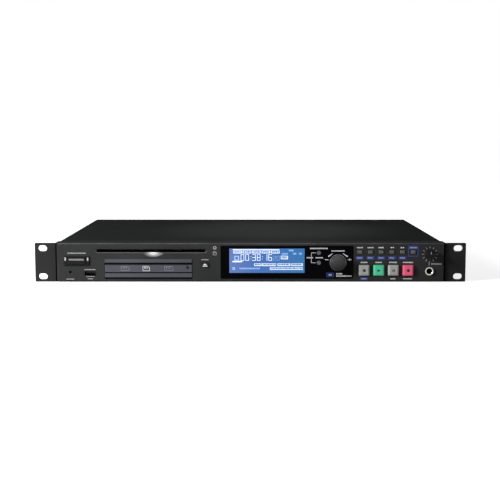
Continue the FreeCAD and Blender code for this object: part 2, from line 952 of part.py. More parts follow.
def rectangular_key(label, centre, width, height, proud, edge):
    outline = rectangle(centre, width, height)
    flange = rectangle(centre, wider(width, s.key_flange), wider(height, s.key_flange))
    push_key(label, outline, proud, (centre, flange), edge)


def keys():
    def soft(proud):
        return lambda key: key.fillet(s.row_key_round, edge_at(y=face - proud))

    def bevelled(key):
        key.chamfer(s.transport_bevel, edge_at(y=face - s.transport_proud))

    for number, centre in enumerate(row_keys(), start=1):
        rectangular_key(f"function_key_{number}", centre, s.row_key_width, s.row_key_height,
                        s.row_key_proud, soft(s.row_key_proud))
    names = ("stop_key", "play_key", "pause_key", "record_key")
    for label, centre in zip(names, transport_keys()):
        rectangular_key(label, centre, s.transport_side, s.transport_side, s.transport_proud, bevelled)
    for label, centre in zip(("menu_key", "display_key"), round_keys()):
        flange = circle(centre, s.round_key_radius + s.key_flange)
        push_key(label, circle(centre, s.round_key_radius), s.round_key_proud, (centre, flange),
                 soft(s.round_key_proud))
    rectangular_key("eject_key", eject_key, s.eject_width, s.eject_height, s.eject_proud,
                    soft(s.eject_proud))


def tact_switches():
    """One small switch on the board behind each key."""
    half = s.switch_side / 2
    body_front = board_front - s.switch_deep
    switches = []
    for x, z in row_keys() + transport_keys() + round_keys() + [eject_key]:
        body = block((x - half, body_front, z - half), (x + half, board_front, z + half))
        plunger = rod("y", (x, body_front - s.switch_rise, z), s.switch_plunger, s.switch_rise)
        switches.append(fuse(body, plunger))
    keep(group(switches), "tact_switches")


def power_switch():
    bezel = Piece("power_bezel")
    opening = (wider(s.power_width, s.hole_play), wider(s.power_height, s.hole_play))
    bezel.pad("XZ", face - s.bezel_proud, face, rounded(
        power_key, s.bezel_width, s.bezel_height, s.bezel_round))
    bezel.fillet(s.bezel_round, edge_at(y=face - s.bezel_proud))
    bezel.pad("XZ", face, front, rectangle(power_key, s.bezel_sleeve_width, s.bezel_sleeve_height))
    bezel.pocket("XZ", face - s.bezel_proud, front, rectangle(power_key, *opening))

    key = Piece("power_key")
    flange_front = front + s.key_flange_gap
    key.pad("XZ", face - s.power_proud, flange_front, rectangle(power_key, s.power_width, s.power_height))
    key.fillet(s.bezel_round, edge_at(y=face - s.power_proud))
    key.pad("XZ", flange_front, flange_front + s.key_flange, rectangle(
        power_key, wider(s.power_width, s.power_flange), wider(s.power_height, s.power_flange)))
    body_front = board_front - s.power_switch_deep
    stem_back = body_front - s.power_travel - s.seat
    key.pad("XZ", flange_front + s.key_flange, stem_back, circle(power_key, s.key_stem))

    half_width, half_height = s.power_switch_width / 2, s.power_switch_height / 2
    x, z = power_key
    body = block((x - half_width, body_front, z - half_height),
                 (x + half_width, board_front, z + half_height))
    keep(body, "power_switch")


def jog_dial():
    """Push shaft in the encoder's bushing, with the dial turning on it."""
    x, z = jog_axis
    skirt_back = face - s.window_proud - s.jog_gap
    skirt_front = skirt_back - s.jog_skirt_deep
    tip = skirt_back - s.jog_long
    bore = s.jog_shaft + s.running_play
    bore_end = skirt_back - s.jog_bore_depth
    dial = Piece("jog_dial")
    dial.turned("Revolution", "YZ", x, ((tip, z), (skirt_back, z)), polygon(
        (skirt_back, z + bore), (skirt_back, z + s.jog_skirt_radius),
        (skirt_front + s.side_round, z + s.jog_skirt_radius),
        (skirt_front, z + s.jog_skirt_radius - s.side_round), (skirt_front, z + s.jog_radius),
        (tip + s.jog_chamfer, z + s.jog_tip_radius + s.jog_chamfer), (tip, z + s.jog_tip_radius),
        (tip, z), (bore_end, z), (bore_end, z + bore)))

    body_front = board_front - s.encoder_deep
    bore_back = body_front + s.encoder_deep - s.seam
    shaft_front = bore_end + s.seam
    shaft_back = bore_back - s.jog_travel - s.seam
    keep(rod("y", (x, shaft_front, z), s.jog_shaft, shaft_back - shaft_front), "jog_shaft")

    half = s.encoder_side / 2
    body = block((x - half, body_front, z - half), (x + half, board_front, z + half))
    bushing_front = body_front - s.jog_bushing_long
    bushing = rod("y", (x, bushing_front, z), s.jog_bushing, s.jog_bushing_long)
    hole = rod("y", (x, bushing_front, z), bore, bore_back - bushing_front)
    keep(cut(fuse(body, bushing), hole), "jog_encoder")


def level_knob():
    x, z = level_axis
    knob_back = face - s.level_gap
    tip = knob_back - s.level_long
    body_front = board_front - s.level_deep
    bore_back = board_front - s.seam
    shaft_back = bore_back - s.seam
    knob = Piece("level_knob")
    knob.turned("Revolution", "YZ", x, ((tip, z), (shaft_back, z)), polygon(
        (shaft_back, z), (shaft_back, z + s.level_shaft), (knob_back, z + s.level_shaft),
        (knob_back, z + s.level_radius), (tip + s.side_round, z + s.level_tip_radius + s.seam),
        (tip, z + s.level_tip_radius - s.seam), (tip, z)))
    half = s.level_body / 2
    body = block((x - half, body_front, z - half), (x + half, board_front, z + half))
    bushing_front = body_front - s.level_bushing_long
    bushing = rod("y", (x, bushing_front, z), s.level_bushing, s.level_bushing_long)
    bore = s.level_shaft + s.running_play
    hole = rod("y", (x, bushing_front, z), bore, bore_back - bushing_front)
    keep(cut(fuse(body, bushing), hole), "level_pot")


# Front sockets.

def phones_jack():
    x, z = phones_axis
    body_front = front + s.seat
    half = s.phones_body / 2
    body = block((x - half, body_front, z - half), (x + half, body_front + s.phones_deep, z + half))
    ring_front = face - s.phones_proud
    ring = rod("y", (x, ring_front, z), s.phones_ring, body_front - ring_front)
    bore = rod("y", (x, ring_front, z), s.phones_bore, body_front + s.phones_deep - ring_front)
    keep(cut(fuse(body, ring), bore), "phones_jack")


def usb_socket():
    """Folded shell round a contact tongue."""
    socket = Piece("usb_socket")
    socket.pad("XZ", front, board_front, rectangle(
        usb_axis, wider(s.usb_width, s.usb_sheet), wider(s.usb_height, s.usb_sheet)))
    socket.pocket("XZ", front, board_front - s.usb_floor, rectangle(usb_axis, s.usb_width, s.usb_height))
    tongue = (usb_axis[0], usb_axis[1] + s.usb_tongue_thick / 2)
    socket.pad("XZ", front + s.usb_tongue_back, board_front - s.usb_floor, rectangle(
        tongue, s.usb_tongue_width, s.usb_tongue_thick))


def remote_jack():
    x, z = remote_axis
    half = s.remote_body / 2
    body = block((x - half, front, z - half), (x + half, board_front, z + half))
    bore = rod("y", (x, front, z), s.remote_bore, s.board_gap)
    keep(cut(body, bore), "remote_jack")


# Card door and the slots behind it.

def card_door():
    door = Piece("card_door")
    near, far = face - s.bar_proud, front - s.door_back_gap
    door.pad("XZ", near, far, span(s.card_left, s.door_low, s.card_right, s.door_high))
    door.fillet(s.bar_round, edge_at(y=near))
    door.pocket("XZ", near, near + s.door_split_depth, span(
        s.card_left, s.door_split_low, s.card_right, s.door_split_high))
    screw = (s.card_right - s.door_screw_inset, s.door_screw_up)
    door.pocket("XZ", near, near + s.door_screw_depth, circle(screw, s.door_screw_radius))
    pin = circle(hinge_axis, s.hinge_pin)
    door.pad("YZ", s.card_left - s.hinge_pin_long, s.card_left, pin)
    door.pad("YZ", s.card_right, s.card_right + s.hinge_pin_long, pin)


def card_slot_unit():
    """Moulded guide block for a wide and a small memory card."""
    unit = Piece("card_slot_unit")
    near = front + s.unit_back
    unit.pad("XZ", near, near + s.unit_deep, span(
        unit_left, rim_top + s.seat, unit_right, s.unit_high))
    unit.pocket("XZ", near, near + s.card_slot_deep,
                rectangle((s.wide_card_across, s.card_up), s.wide_card_width, s.card_slot_height),
                rectangle((s.small_card_across, s.card_up), s.small_card_width, s.card_slot_height))


# Disc drive.

drive_front = board_back + s.drive_back
drive_rear = drive_front + s.drive_deep
drive_left = s.slot_across - s.drive_width / 2
drive_right = s.slot_across + s.drive_width / 2
deck_top = s.drive_low + s.drive_sheet
disc_y = drive_front + s.disc_inset + s.disc_radius
roller_axis = (drive_front + s.roller_back, s.slot_up - s.roller_drop)
lift_low = deck_top + s.lift_gap
lift_top = lift_low + s.lift_sheet
lift_left = s.slot_across - s.lift_width / 2
lift_right = s.slot_across + s.lift_width / 2
lift_near = disc_y - s.lift_front
lift_far = disc_y + s.lift_rear
guide_length = wider(s.slot_length, s.guide_play)
guide_height = wider(s.slot_height, s.guide_play)


def lift_posts():
    """Centres of the four posts that the lift frame slides on."""
    inset = s.lift_post_inset
    return [(x, y) for x in (lift_left + inset, lift_right - inset)
            for y in (lift_near + inset, lift_far - inset)]


def drive_deck():
    """Folded tray of the drive: floor, four walls, legs and the lift posts."""
    deck = Piece("drive_deck")
    wall = s.drive_sheet
    deck.pad("XY", s.drive_low, s.drive_high, span(drive_left, drive_front, drive_right, drive_rear))
    deck.pocket("XY", deck_top, s.drive_high, span(
        drive_left + wall, drive_front + wall, drive_right - wall, drive_rear - wall))
    deck.pocket("XZ", drive_front, drive_front + wall, rectangle(slot_axis, guide_length, guide_height))
    deck.pocket("YZ", drive_left, drive_left + wall, circle(roller_axis, s.roller_axle + s.running_play))
    deck.pocket("YZ", drive_right - wall, drive_right, circle(roller_axis, s.roller_axle + s.running_play))
    post_top = lift_top + s.lift_travel + s.lift_post_spare
    deck.pad("XY", deck_top, post_top, *[circle(xy, s.lift_post) for xy in lift_posts()])
    legs = []
    for x in (drive_left, drive_right - s.drive_leg):
        for y in (drive_front + s.unit_deep, drive_rear - s.drive_leg):
            legs.append(span(x, y, x + s.drive_leg, y + s.drive_leg))
    deck.pad("XY", s.sheet, s.drive_low, *legs)


def drive_lid():
    lid = Piece("drive_lid")
    low, high = s.drive_high, s.drive_high + s.drive_sheet
    lid.pad("XY", low, high, span(drive_left, drive_front, drive_right, drive_rear))
    lid.pocket("XY", low, high, circle((s.slot_across, disc_y), s.clamp_stem + s.seam))


def slot_guide():
    """Plastic mouth that leads the disc from the fascia to the drive."""
    guide = Piece("slot_guide")
    grow = 2 * s.guide_wall
    near, far = front + s.seam, drive_front
    guide.pad("XZ", near, far, rectangle(slot_axis, guide_length + grow, guide_height + grow))
    guide.pocket("XZ", near, far, rectangle(slot_axis, guide_length, guide_height))


def feed_roller():
    """Rubber roller, slimmer in the middle so that it grips only the disc's rim."""
    y, z = roller_axis
    roller = Piece("feed_roller")
    wall = s.drive_sheet
    left, right = drive_left + wall + s.seam, drive_right - wall - s.seam
    middle = s.slot_across
    roller.turned("Revolution", "XZ", y, ((drive_left, z), (drive_right, z)), polygon(
        (drive_left, z), (drive_left, z + s.roller_axle), (left, z + s.roller_axle),
        (left, z + s.roller_radius), (middle, z + s.roller_waist), (right, z + s.roller_radius),
        (right, z + s.roller_axle), (drive_right, z + s.roller_axle), (drive_right, z)))


def lift_frame():
    """Plate that raises the platter, with a window for the pickup and lugs for its rods."""
    frame = Piece("lift_frame")
    frame.pad("XY", lift_low, lift_top, span(lift_left, lift_near, lift_right, lift_far))
    guide_hole = s.lift_post + s.running_play
    frame.pocket("XY", lift_low, lift_top, *[circle(xy, guide_hole) for xy in lift_posts()])
    rod_high = s.rod_up + s.rod_radius + s.rod_wall
    reach = s.rod_radius + s.rod_wall
    lugs = []
    for side in (-1, 1):
        x = s.slot_across + side * s.rod_spread
        for y in (disc_y + s.sled_start - s.rod_wall - s.seam, rod_far() + s.seam):
            lugs.append(span(x - reach, y, x + reach, y + s.rod_wall))
    frame.pad("XY", lift_top, rod_high, *lugs)
    for side in (-1, 1):
        centre = (s.slot_across + side * s.rod_spread, s.rod_up)
        frame.pocket("XZ", lift_near, lift_far, circle(centre, s.rod_radius + s.running_play))


def rod_far():
    return disc_y + s.sled_start + s.sled_long + s.sled_travel


def sled_rods():
    near = disc_y + s.sled_start - s.rod_wall - s.seam
    far = rod_far() + s.rod_wall + s.seam
    rods = [rod("y", (s.slot_across + side * s.rod_spread, near, s.rod_up), s.rod_radius, far - near)
            for side in (-1, 1)]
    keep(group(rods), "sled_rods")


def pickup_sled():
    """Optical pickup running on two rods, bored on one side and forked on the other."""
    sled = Piece("pickup_sled")
    near = disc_y + s.sled_start
    far = near + s.sled_long
    reach = s.rod_spread + s.rod_radius + s.rod_wall
    sled.pad("XY", s.sled_low, s.sled_high, span(
        s.slot_across - reach, near, s.slot_across + s.rod_spread + s.rod_radius, far))
    bored = (s.slot_across - s.rod_spread, s.rod_up)
    sled.pocket("XZ", near, far, circle(bored, s.rod_radius + s.running_play))
    fork = s.rod_radius + s.sled_fork
    forked = s.slot_across + s.rod_spread
    sled.pocket("XZ", near, far, span(forked - fork, s.rod_up - fork, forked + 2 * fork, s.rod_up + fork))
    sled.pad("XY", s.sled_high, s.sled_high + s.lens_high, circle(
        (s.slot_across, (near + far) / 2), s.lens_radius))


def turntable():
    platter = Piece("turntable")
    x, low = s.slot_across, s.platter_low
    high = low + s.platter_sheet
    foot = lift_top + s.seam
    platter.turned("Revolution", "XZ", disc_y, ((x, foot), (x, high + s.hub_high)), polygon(
        (x, foot), (x + s.spindle_radius, foot), (x + s.spindle_radius, low),
        (x + s.platter_radius, low), (x + s.platter_radius, high), (x + s.hub_radius, high),
        (x + s.hub_radius - s.side_round, high + s.hub_high), (x, high + s.hub_high)))


def spindle_motor():
    place_xyz = (s.slot_across, disc_y, lift_top)
    body = rod("z", place_xyz, s.motor_radius, s.platter_low - s.seam - lift_top)
    bore = rod("z", place_xyz, s.spindle_radius + s.running_play, s.platter_low - lift_top)
    keep(cut(body, bore), "spindle_motor")


def disc_clamp():
    """Clamp disc hanging by its cap in the lid."""
    clamp = Piece("disc_clamp")
    x, low = s.slot_across, s.clamp_low
    cap = s.drive_high + s.drive_sheet
    top_of_cap = cap + s.clamp_cap_sheet
    clamp.turned("Revolution", "XZ", disc_y, ((x, low), (x, top_of_cap)), polygon(
        (x, low), (x + s.clamp_radius, low), (x + s.clamp_radius, low + s.clamp_sheet),
        (x + s.clamp_stem, low + s.clamp_sheet), (x + s.clamp_stem, cap),
        (x + s.clamp_cap, cap), (x + s.clamp_cap, top_of_cap), (x, top_of_cap)))


# Boards.

def front_boards():
    board = Piece("front_board")
    low, high = s.board_low, s.board_high
    board.pad("XZ", board_front, board_back, polygon(
        (s.board_left, low), (s.jack_notch_across, low), (s.jack_notch_across, s.jack_notch_up),
        (s.board_right, s.jack_notch_up), (s.board_right, high), (s.board_step_across, high),
        (s.board_step_across, s.board_step_up), (s.board_left, s.board_step_up)))
    side = Piece("side_board")
    side.pad("XZ", board_front, board_back, span(
        s.side_board_left, low, s.side_board_right, s.side_board_high))


board_floor = s.sheet + s.standoff_high
board_top = board_floor + s.board


def board_corners(left, right, near, far):
    inset = s.board_inset
    return [(x, y) for x in (left + inset, right - inset) for y in (near + inset, far - inset)]


main_back = back - s.rear_clear
supply_front = drive_rear + s.supply_gap
main_corners = board_corners(s.main_left, s.main_right, s.main_front, main_back)
supply_corners = board_corners(s.supply_left, s.supply_right, supply_front, s.supply_back)


def main_board():
    board = Piece("main_board")
    board.pad("XY", board_floor, board_top, span(s.main_left, s.main_front, s.main_right, main_back))
    middle = (s.main_left + s.main_right) / 2
    centre = (s.main_front + main_back) / 2
    chips = [rectangle((middle + x * s.chip_side * 2, centre + y * s.chip_side), s.chip_side, s.chip_side)
             for x, y in ((-1, -1), (1, 1), (0, -3))]
    board.pad("XY", board_top, board_top + s.chip_high, *chips)


def power_supply_board():
    board = Piece("power_supply_board")
    board.pad("XY", board_floor, board_top, span(
        s.supply_left, supply_front, s.supply_right, s.supply_back))
    middle = (s.supply_left + s.supply_right) / 2
    centre = (supply_front + s.supply_back) / 2
    board.pad("XY", board_top, board_top + s.coil_high, rectangle((middle, centre), s.coil_side, s.coil_side))
    first = middle + s.coil_side
    cans = [circle((first + step * s.can_pitch, centre), s.can_radius) for step in range(2)]
    board.pad("XY", board_top, board_top + s.can_high, *cans)


def board_standoffs():
    posts = [rod("z", (x, y, s.sheet), s.standoff_radius, s.standoff_high)
             for x, y in main_corners + supply_corners]
    keep(group(posts), "board_standoffs")


# Rear panel and its sockets.

rear_middle = s.rear_up
inlet_axis = (s.inlet_across, rear_middle)


def shell_axes(across):
    return [(across, rear_middle), (across - s.shell_pitch, rear_middle)]


def phono_axes():
    rise = s.phono_pitch / 2
    return [(s.phono_across + s.phono_pitch * column, rear_middle + (2 * line - 1) * rise)
            for column in range(int(SIZES["phono_columns"])) for line in range(int(SIZES["phono_rows"]))]


def port_nuts(centre, width):
    """Centres of the nuts on the left and right of a control port."""
    reach = width / 2 + s.port_ear - s.port_nut
    return [(centre[0] + side * reach, centre[1]) for side in (-1, 1)]


def port_outline(centre, width, height, grow):
    """D-shaped outline of a control port's shell, wider at the top."""
    x, z = centre
    reach, rise = width / 2 + grow, height / 2 + grow
    narrow = reach - s.port_slope
    return polygon(
        (x - narrow, z - rise), (x + narrow, z - rise), (x + reach, z + rise), (x - reach, z + rise))


ports = [((s.wide_port_across, rear_middle), s.wide_port_width),
         ((s.narrow_port_across, rear_middle), s.narrow_port_width)]


def rear_panel():
    panel = Piece("rear_panel")
    reach = half_case - s.sheet - s.seat
    foot = s.sheet
    panel.pad("YZ", -reach, reach, polygon(
        (back, foot), (back, wall_top), (panel_front, wall_top), (panel_front, foot + s.sheet),
        (back - s.panel_flange, foot + s.sheet), (back - s.panel_flange, foot)))
    play = s.seat
    holes = [rectangle(inlet_axis, wider(s.inlet_body_width, play), wider(s.inlet_body_height, play))]
    holes += [circle(axis, s.shell_radius + play)
              for axis in shell_axes(s.input_across) + shell_axes(s.output_across)]
    holes += [circle(axis, s.phono_barrel + play) for axis in phono_axes()]
    holes.append(circle((s.sync_across, rear_middle), s.sync_barrel + play))
    for centre, width in ports:
        holes.append(port_outline(centre, width, s.port_height, play))
        holes += [circle(nut, s.port_nut + play) for nut in port_nuts(centre, width)]
    panel.pocket("XZ", panel_front, back, *holes)


def mains_inlet():
    inlet = Piece("mains_inlet")
    lip = back + s.inlet_lip
    inlet.pad("XZ", back, lip, rounded(inlet_axis, s.inlet_width, s.inlet_height, s.inlet_lip))
    inlet.pad("XZ", lip - s.inlet_deep, back, rectangle(inlet_axis, s.inlet_body_width, s.inlet_body_height))
    floor = lip - s.inlet_mouth_deep
    inlet.pocket("XZ", floor, lip, rectangle(inlet_axis, s.inlet_mouth_width, s.inlet_mouth_height))
    x, z = inlet_axis
    blades = [rectangle((x + step * s.blade_spread, z + rise * s.blade_rise), s.blade_thick, s.blade_wide)
              for step, rise in ((-1, -1), (0, 1), (1, -1))]
    inlet.pad("XZ", floor, floor + s.blade_long, *blades)


def balanced_socket(axis, male):
    """Round three-contact panel socket: pins in a cup, or holes in an insert."""
    x, z = axis
    half_width, half_height = s.plate_width / 2, s.plate_height / 2
    outside = back + s.plate_sheet
    plate = block((x - half_width, back, z - half_height), (x + half_width, outside, z + half_height))
    shell = rod("y", (x, outside - s.shell_deep, z), s.shell_radius, s.shell_deep)
    floor = outside - s.shell_cup_deep
    cup = rod("y", (x, floor, z), s.shell_cup, s.shell_cup_deep)
    circle_radius = s.contact_circle
    spread = math.sin(math.radians(60))
    if male:
        places = [(x - circle_radius * spread, z + circle_radius / 2),
                  (x + circle_radius * spread, z + circle_radius / 2), (x, z - circle_radius)]
        length = s.shell_cup_deep - s.contact_back
        pins = [rod("y", (px, floor, pz), s.contact_radius, length) for px, pz in places]
        return fuse(cut(fuse(plate, shell), cup), *pins)
    places = [(x - circle_radius * spread, z - circle_radius / 2),
              (x + circle_radius * spread, z - circle_radius / 2), (x, z + circle_radius)]
    depth = s.shell_cup_deep - s.contact_back
    insert = rod("y", (x, floor, z), s.insert_radius, depth)
    holes = [rod("y", (px, floor + s.contact_back, pz), s.contact_radius, depth) for px, pz in places]
    return cut(fuse(cut(fuse(plate, shell), cup), insert), *holes)


def balanced_sockets():
    inputs = [balanced_socket(axis, False) for axis in shell_axes(s.input_across)]
    keep(group(inputs), "balanced_inputs")
    outputs = [balanced_socket(axis, True) for axis in shell_axes(s.output_across)]
    keep(group(outputs), "balanced_outputs")


def phono_sockets():
    sockets = Piece("phono_sockets")
    axes = phono_axes()
    border = s.phono_border
    low, high = axes[0], axes[-1]
    sockets.pad("XZ", panel_front - s.phono_block_deep, panel_front, span(
        low[0] - border, low[1] - border, high[0] + border, high[1] + border))
    outside = back + s.phono_long
    sockets.pad("XZ", panel_front, outside, *[circle(axis, s.phono_barrel) for axis in axes])
    sockets.pocket("XZ", outside - s.phono_bore_deep, outside, *[circle(axis, s.phono_bore) for axis in axes])


def sync_socket():
    """Bayonet socket with a collar against the inside of the panel."""
    x, z = s.sync_across, rear_middle
    socket = Piece("sync_socket")
    outside = back + s.sync_long
    behind = panel_front - s.sync_deep
    socket.pad("XZ", behind, outside, circle((x, z), s.sync_barrel))
    socket.pad("XZ", panel_front - s.sync_collar_long, panel_front, circle((x, z), s.sync_collar))
    socket.pocket("XZ", back, outside, circle((x, z), s.sync_bore))
    socket.pad("XZ", back, outside - s.contact_back, circle((x, z), s.sync_pin))


def control_port(centre, width):
    """Flanged body inside the panel, its D-shaped shell outside and a nut on each side."""
    port = Piece("control_port", False)
    full = width + 2 * s.port_ear
    port.pad("XZ", panel_front - s.port_deep, panel_front, rectangle(
        centre, full, s.port_height + 2 * s.port_lip))
    port.pad("XZ", panel_front, back + s.port_long, port_outline(centre, width, s.port_height, 0))
    nuts = [circle(nut, s.port_nut) for nut in port_nuts(centre, width)]
    port.pad("XZ", panel_front, back + s.port_nut_long, *nuts)
    return port.body


def control_ports():
    keep(group([control_port(centre, width) for centre, width in ports]), "control_ports")


def build():
    """Model every piece, check it and write it out."""
    chassis_pan()
    top_cover()
    rear_panel()
    for side in (-1, 1):
        rack_ear(side)
    case_screws()
    front_fascia()
    display_window()
    lcd_module()
    front_boards()
    keys()
    tact_switches()
    power_switch()
    jog_dial()
    level_knob()
    phones_jack()
    usb_socket()
    remote_jack()
    card_door()
    card_slot_unit()
    drive_deck()
    drive_lid()
    slot_guide()
    feed_roller()
    lift_frame()
    sled_rods()
    pickup_sled()
    turntable()
    spindle_motor()
    disc_clamp()
    main_board()
    power_supply_board()
    board_standoffs()
    mains_inlet()
    balanced_sockets()
    phono_sockets()
    sync_socket()
    control_ports()
    document.recompute()


def faults():
    """Objects that failed, cuts that removed nothing and pieces without a sound shape."""
    found = []
    for thing in document.Objects:
        if {"Invalid", "Error"} & set(thing.State):
            found.append(f"{thing.Label}: {thing.State}")
        elif thing.TypeId in ("PartDesign::Pocket", "PartDesign::Groove"):
            if thing.Shape.Volume > thing.BaseFeature.Shape.Volume - 1e-6:
                found.append(f"{thing.Label}: cuts nothing")
    for thing in nodes:
        if thing.Shape.isNull() or not thing.Shape.isValid() or not thing.Shape.Solids:
            found.append(f"{thing.Label}: shape")
    return found


build()
problems = faults()
if problems:
    raise SystemExit("\n".join(problems))
os.makedirs("parts", exist_ok=True)
for thing in nodes:
    thing.Shape.exportStep(f"parts/{thing.Label}.step")
print(len(nodes), "pieces written")
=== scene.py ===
import math

import bpy
import numpy as np
from mathutils import Euler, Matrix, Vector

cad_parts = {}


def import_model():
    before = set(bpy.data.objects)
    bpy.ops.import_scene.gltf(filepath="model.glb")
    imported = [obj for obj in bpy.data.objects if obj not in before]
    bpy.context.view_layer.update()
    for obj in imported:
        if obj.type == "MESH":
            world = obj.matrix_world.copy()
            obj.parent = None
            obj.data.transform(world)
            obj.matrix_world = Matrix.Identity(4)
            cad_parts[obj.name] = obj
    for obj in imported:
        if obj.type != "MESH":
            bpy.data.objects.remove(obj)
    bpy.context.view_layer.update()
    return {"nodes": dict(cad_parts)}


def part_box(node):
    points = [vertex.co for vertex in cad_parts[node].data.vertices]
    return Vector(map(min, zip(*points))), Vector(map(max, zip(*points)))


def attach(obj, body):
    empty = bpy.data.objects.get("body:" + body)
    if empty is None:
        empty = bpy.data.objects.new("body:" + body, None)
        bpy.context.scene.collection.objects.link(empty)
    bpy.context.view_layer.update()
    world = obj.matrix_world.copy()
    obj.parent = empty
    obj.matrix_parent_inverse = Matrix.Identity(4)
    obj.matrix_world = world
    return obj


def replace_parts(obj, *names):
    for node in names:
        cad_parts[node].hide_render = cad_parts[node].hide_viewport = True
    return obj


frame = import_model()

# One-unit rack recorder. Shapes below are worked out in millimetres and written in metres.
MM = 0.001


def corners(node):
    """Lowest and highest corner of a CAD piece, in millimetres."""
    low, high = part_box(node)
    return np.array(low) / MM, np.array(high) / MM


def middle(node):
    """Centre of a CAD piece as seen from the front: X and Z."""
    low, high = corners(node)
    return (low[0] + high[0]) / 2, (low[2] + high[2]) / 2


fascia_low, fascia_high = corners("front_fascia")
window_low, window_high = corners("display_window")
door_low, door_high = corners("card_door")
FACE = corners("left_rack_ear")[0][1] - 3.0
GLASS = window_low[1]
BOARD_TOP = corners("main_board")[0][2] + 1.6
INK = 0.04
dial_z = middle("jog_dial")[1]

# Disc slot, thumb notch and card door, as cut in the fascia.
SLOT_X, SLOT_Z, SLOT_LONG, SLOT_TALL, SLOT_BEVEL = -110.75, 35.6, 123.3, 4.4, 0.8
NOTCH_ASIDE, NOTCH_WIDE, NOTCH_DROP, NOTCH_DEEP = 2.1, 23.5, 4.4, 2.4
BAR_LOW, BAR_HIGH = 21.85, 25.9
DOOR_SPLIT_LOW, DOOR_SPLIT_HIGH = 10.0, 11.3
WIDE_CARD, SMALL_CARD = (-137.0, 43.6), (-92.0, 25.0)
CARD_Z, CARD_TALL, EJECTOR_X = 12.6, 4.8, -109.8


# Finishes.

def nodes_of(name):
    """A new material, its node tree and its shader."""
    material = bpy.data.materials.new(name)
    material.use_nodes = True
    tree = material.node_tree
    shader = tree.nodes["Principled BSDF"]
    return material, tree, shader


def noise(tree, scale, detail=3.0, stretch=(1, 1, 1)):
    """Noise over the piece's own metres, with its lumps about 1/scale of a metre wide."""
    place = tree.nodes.new("ShaderNodeTexCoord")
    mapping = tree.nodes.new("ShaderNodeMapping")
    mapping.inputs["Scale"].default_value = stretch
    pattern = tree.nodes.new("ShaderNodeTexNoise")
    pattern.inputs["Scale"].default_value = scale
    pattern.inputs["Detail"].default_value = detail
    tree.links.new(place.outputs["Object"], mapping.inputs["Vector"])
    tree.links.new(mapping.outputs["Vector"], pattern.inputs["Vector"])
    return pattern.outputs["Fac"]


def spread(tree, factor, low, high):
    """A noise value spread between two numbers."""
    node = tree.nodes.new("ShaderNodeMapRange")
    node.inputs["From Min"].default_value = 0.3
    node.inputs["From Max"].default_value = 0.7
    node.inputs["To Min"].default_value = low
    node.inputs["To Max"].default_value = high
    tree.links.new(factor, node.inputs["Value"])
    return node.outputs["Result"]


def tint(tree, factor, dark, light):
    """A noise value turned into a colour between two."""
    ramp = tree.nodes.new("ShaderNodeValToRGB")
    ramp.color_ramp.elements[0].position = 0.3
    ramp.color_ramp.elements[1].position = 0.7
    ramp.color_ramp.elements[0].color = (*dark, 1)
    ramp.color_ramp.elements[1].color = (*light, 1)
    tree.links.new(factor, ramp.inputs["Fac"])
    return ramp.outputs["Color"]


def bump(tree, shader, height, strength, distance):
    node = tree.nodes.new("ShaderNodeBump")
    node.inputs["Strength"].default_value = strength
    node.inputs["Distance"].default_value = distance
    tree.links.new(height, node.inputs["Height"])
    tree.links.new(node.outputs["Normal"], shader.inputs["Normal"])


def finish(name, colour, rough, vary=0.12, grain=2500, relief=0.00002, gloss=0.25, metal=0.0,
           stretch=(1, 1, 1), cloud=18, relief_strength=0.35):
    """A surface with slow cloudy colour changes, fine grain in its roughness and a small relief."""
    material, tree, shader = nodes_of(name)
    colour = np.array(colour)
    slow = noise(tree, cloud, 2.0)
    fine = noise(tree, grain, 2.0, stretch)
    tree.links.new(tint(tree, slow, colour * (1 - vary), colour * (1 + vary)), shader.inputs["Base Color"])
    tree.links.new(spread(tree, fine, max(rough - 0.08, 0.02), min(rough + 0.08, 1)), shader.inputs["Roughness"])
    bump(tree, shader, fine, relief_strength, relief)
    shader.inputs["Metallic"].default_value = metal
    shader.inputs["Specular IOR Level"].default_value = gloss
    return material


def lit(name, colour, strength, rough=0.4, body=0.5):
    """A moulded surface that also glows with its own colour: backlight on the lit keys and the display, painted light
    on the prints.
    """
    material, tree, shader = nodes_of(name)
    slow = noise(tree, 160, 2.0)
    colour = np.array(colour)
    shade = tint(tree, slow, colour * 0.94, colour * 1.06)
    tree.links.new(shade, shader.inputs["Base Color"])
    tree.links.new(shade, shader.inputs["Emission Color"])
    shader.inputs["Emission Strength"].default_value = strength
    tree.links.new(spread(tree, noise(tree, 3000), rough - 0.06, rough + 0.06), shader.inputs["Roughness"])
    shader.inputs["Specular IOR Level"].default_value = body
    return material


def shade_along(material, axis, start, end, colour):
    """Turn a finish towards another colour between two places along an axis of the room, in millimetres. It paints
    shade and light on the fascia, the dial and its ring, and a real change of colour on the boards.
    """
    tree = material.node_tree
    shader = tree.nodes["Principled BSDF"]
    place = tree.nodes.new("ShaderNodeNewGeometry")
    split = tree.nodes.new("ShaderNodeSeparateXYZ")
    step = tree.nodes.new("ShaderNodeMapRange")
    mix = tree.nodes.new("ShaderNodeMix")
    mix.data_type = "RGBA"
    step.inputs["From Min"].default_value = start * MM
    step.inputs["From Max"].default_value = end * MM
    colours = [socket for socket in mix.inputs if socket.type == "RGBA"]
    colours[1].default_value = (*colour, 1)
    tree.links.new(place.outputs["Position"], split.inputs["Vector"])
    tree.links.new(split.outputs[axis], step.inputs["Value"])
    tree.links.new(step.outputs["Result"], mix.inputs["Factor"])
    tree.links.new(shader.inputs["Base Color"].links[0].from_socket, colours[0])
    tree.links.new([socket for socket in mix.outputs if socket.type == "RGBA"][0], shader.inputs["Base Color"])
    return material


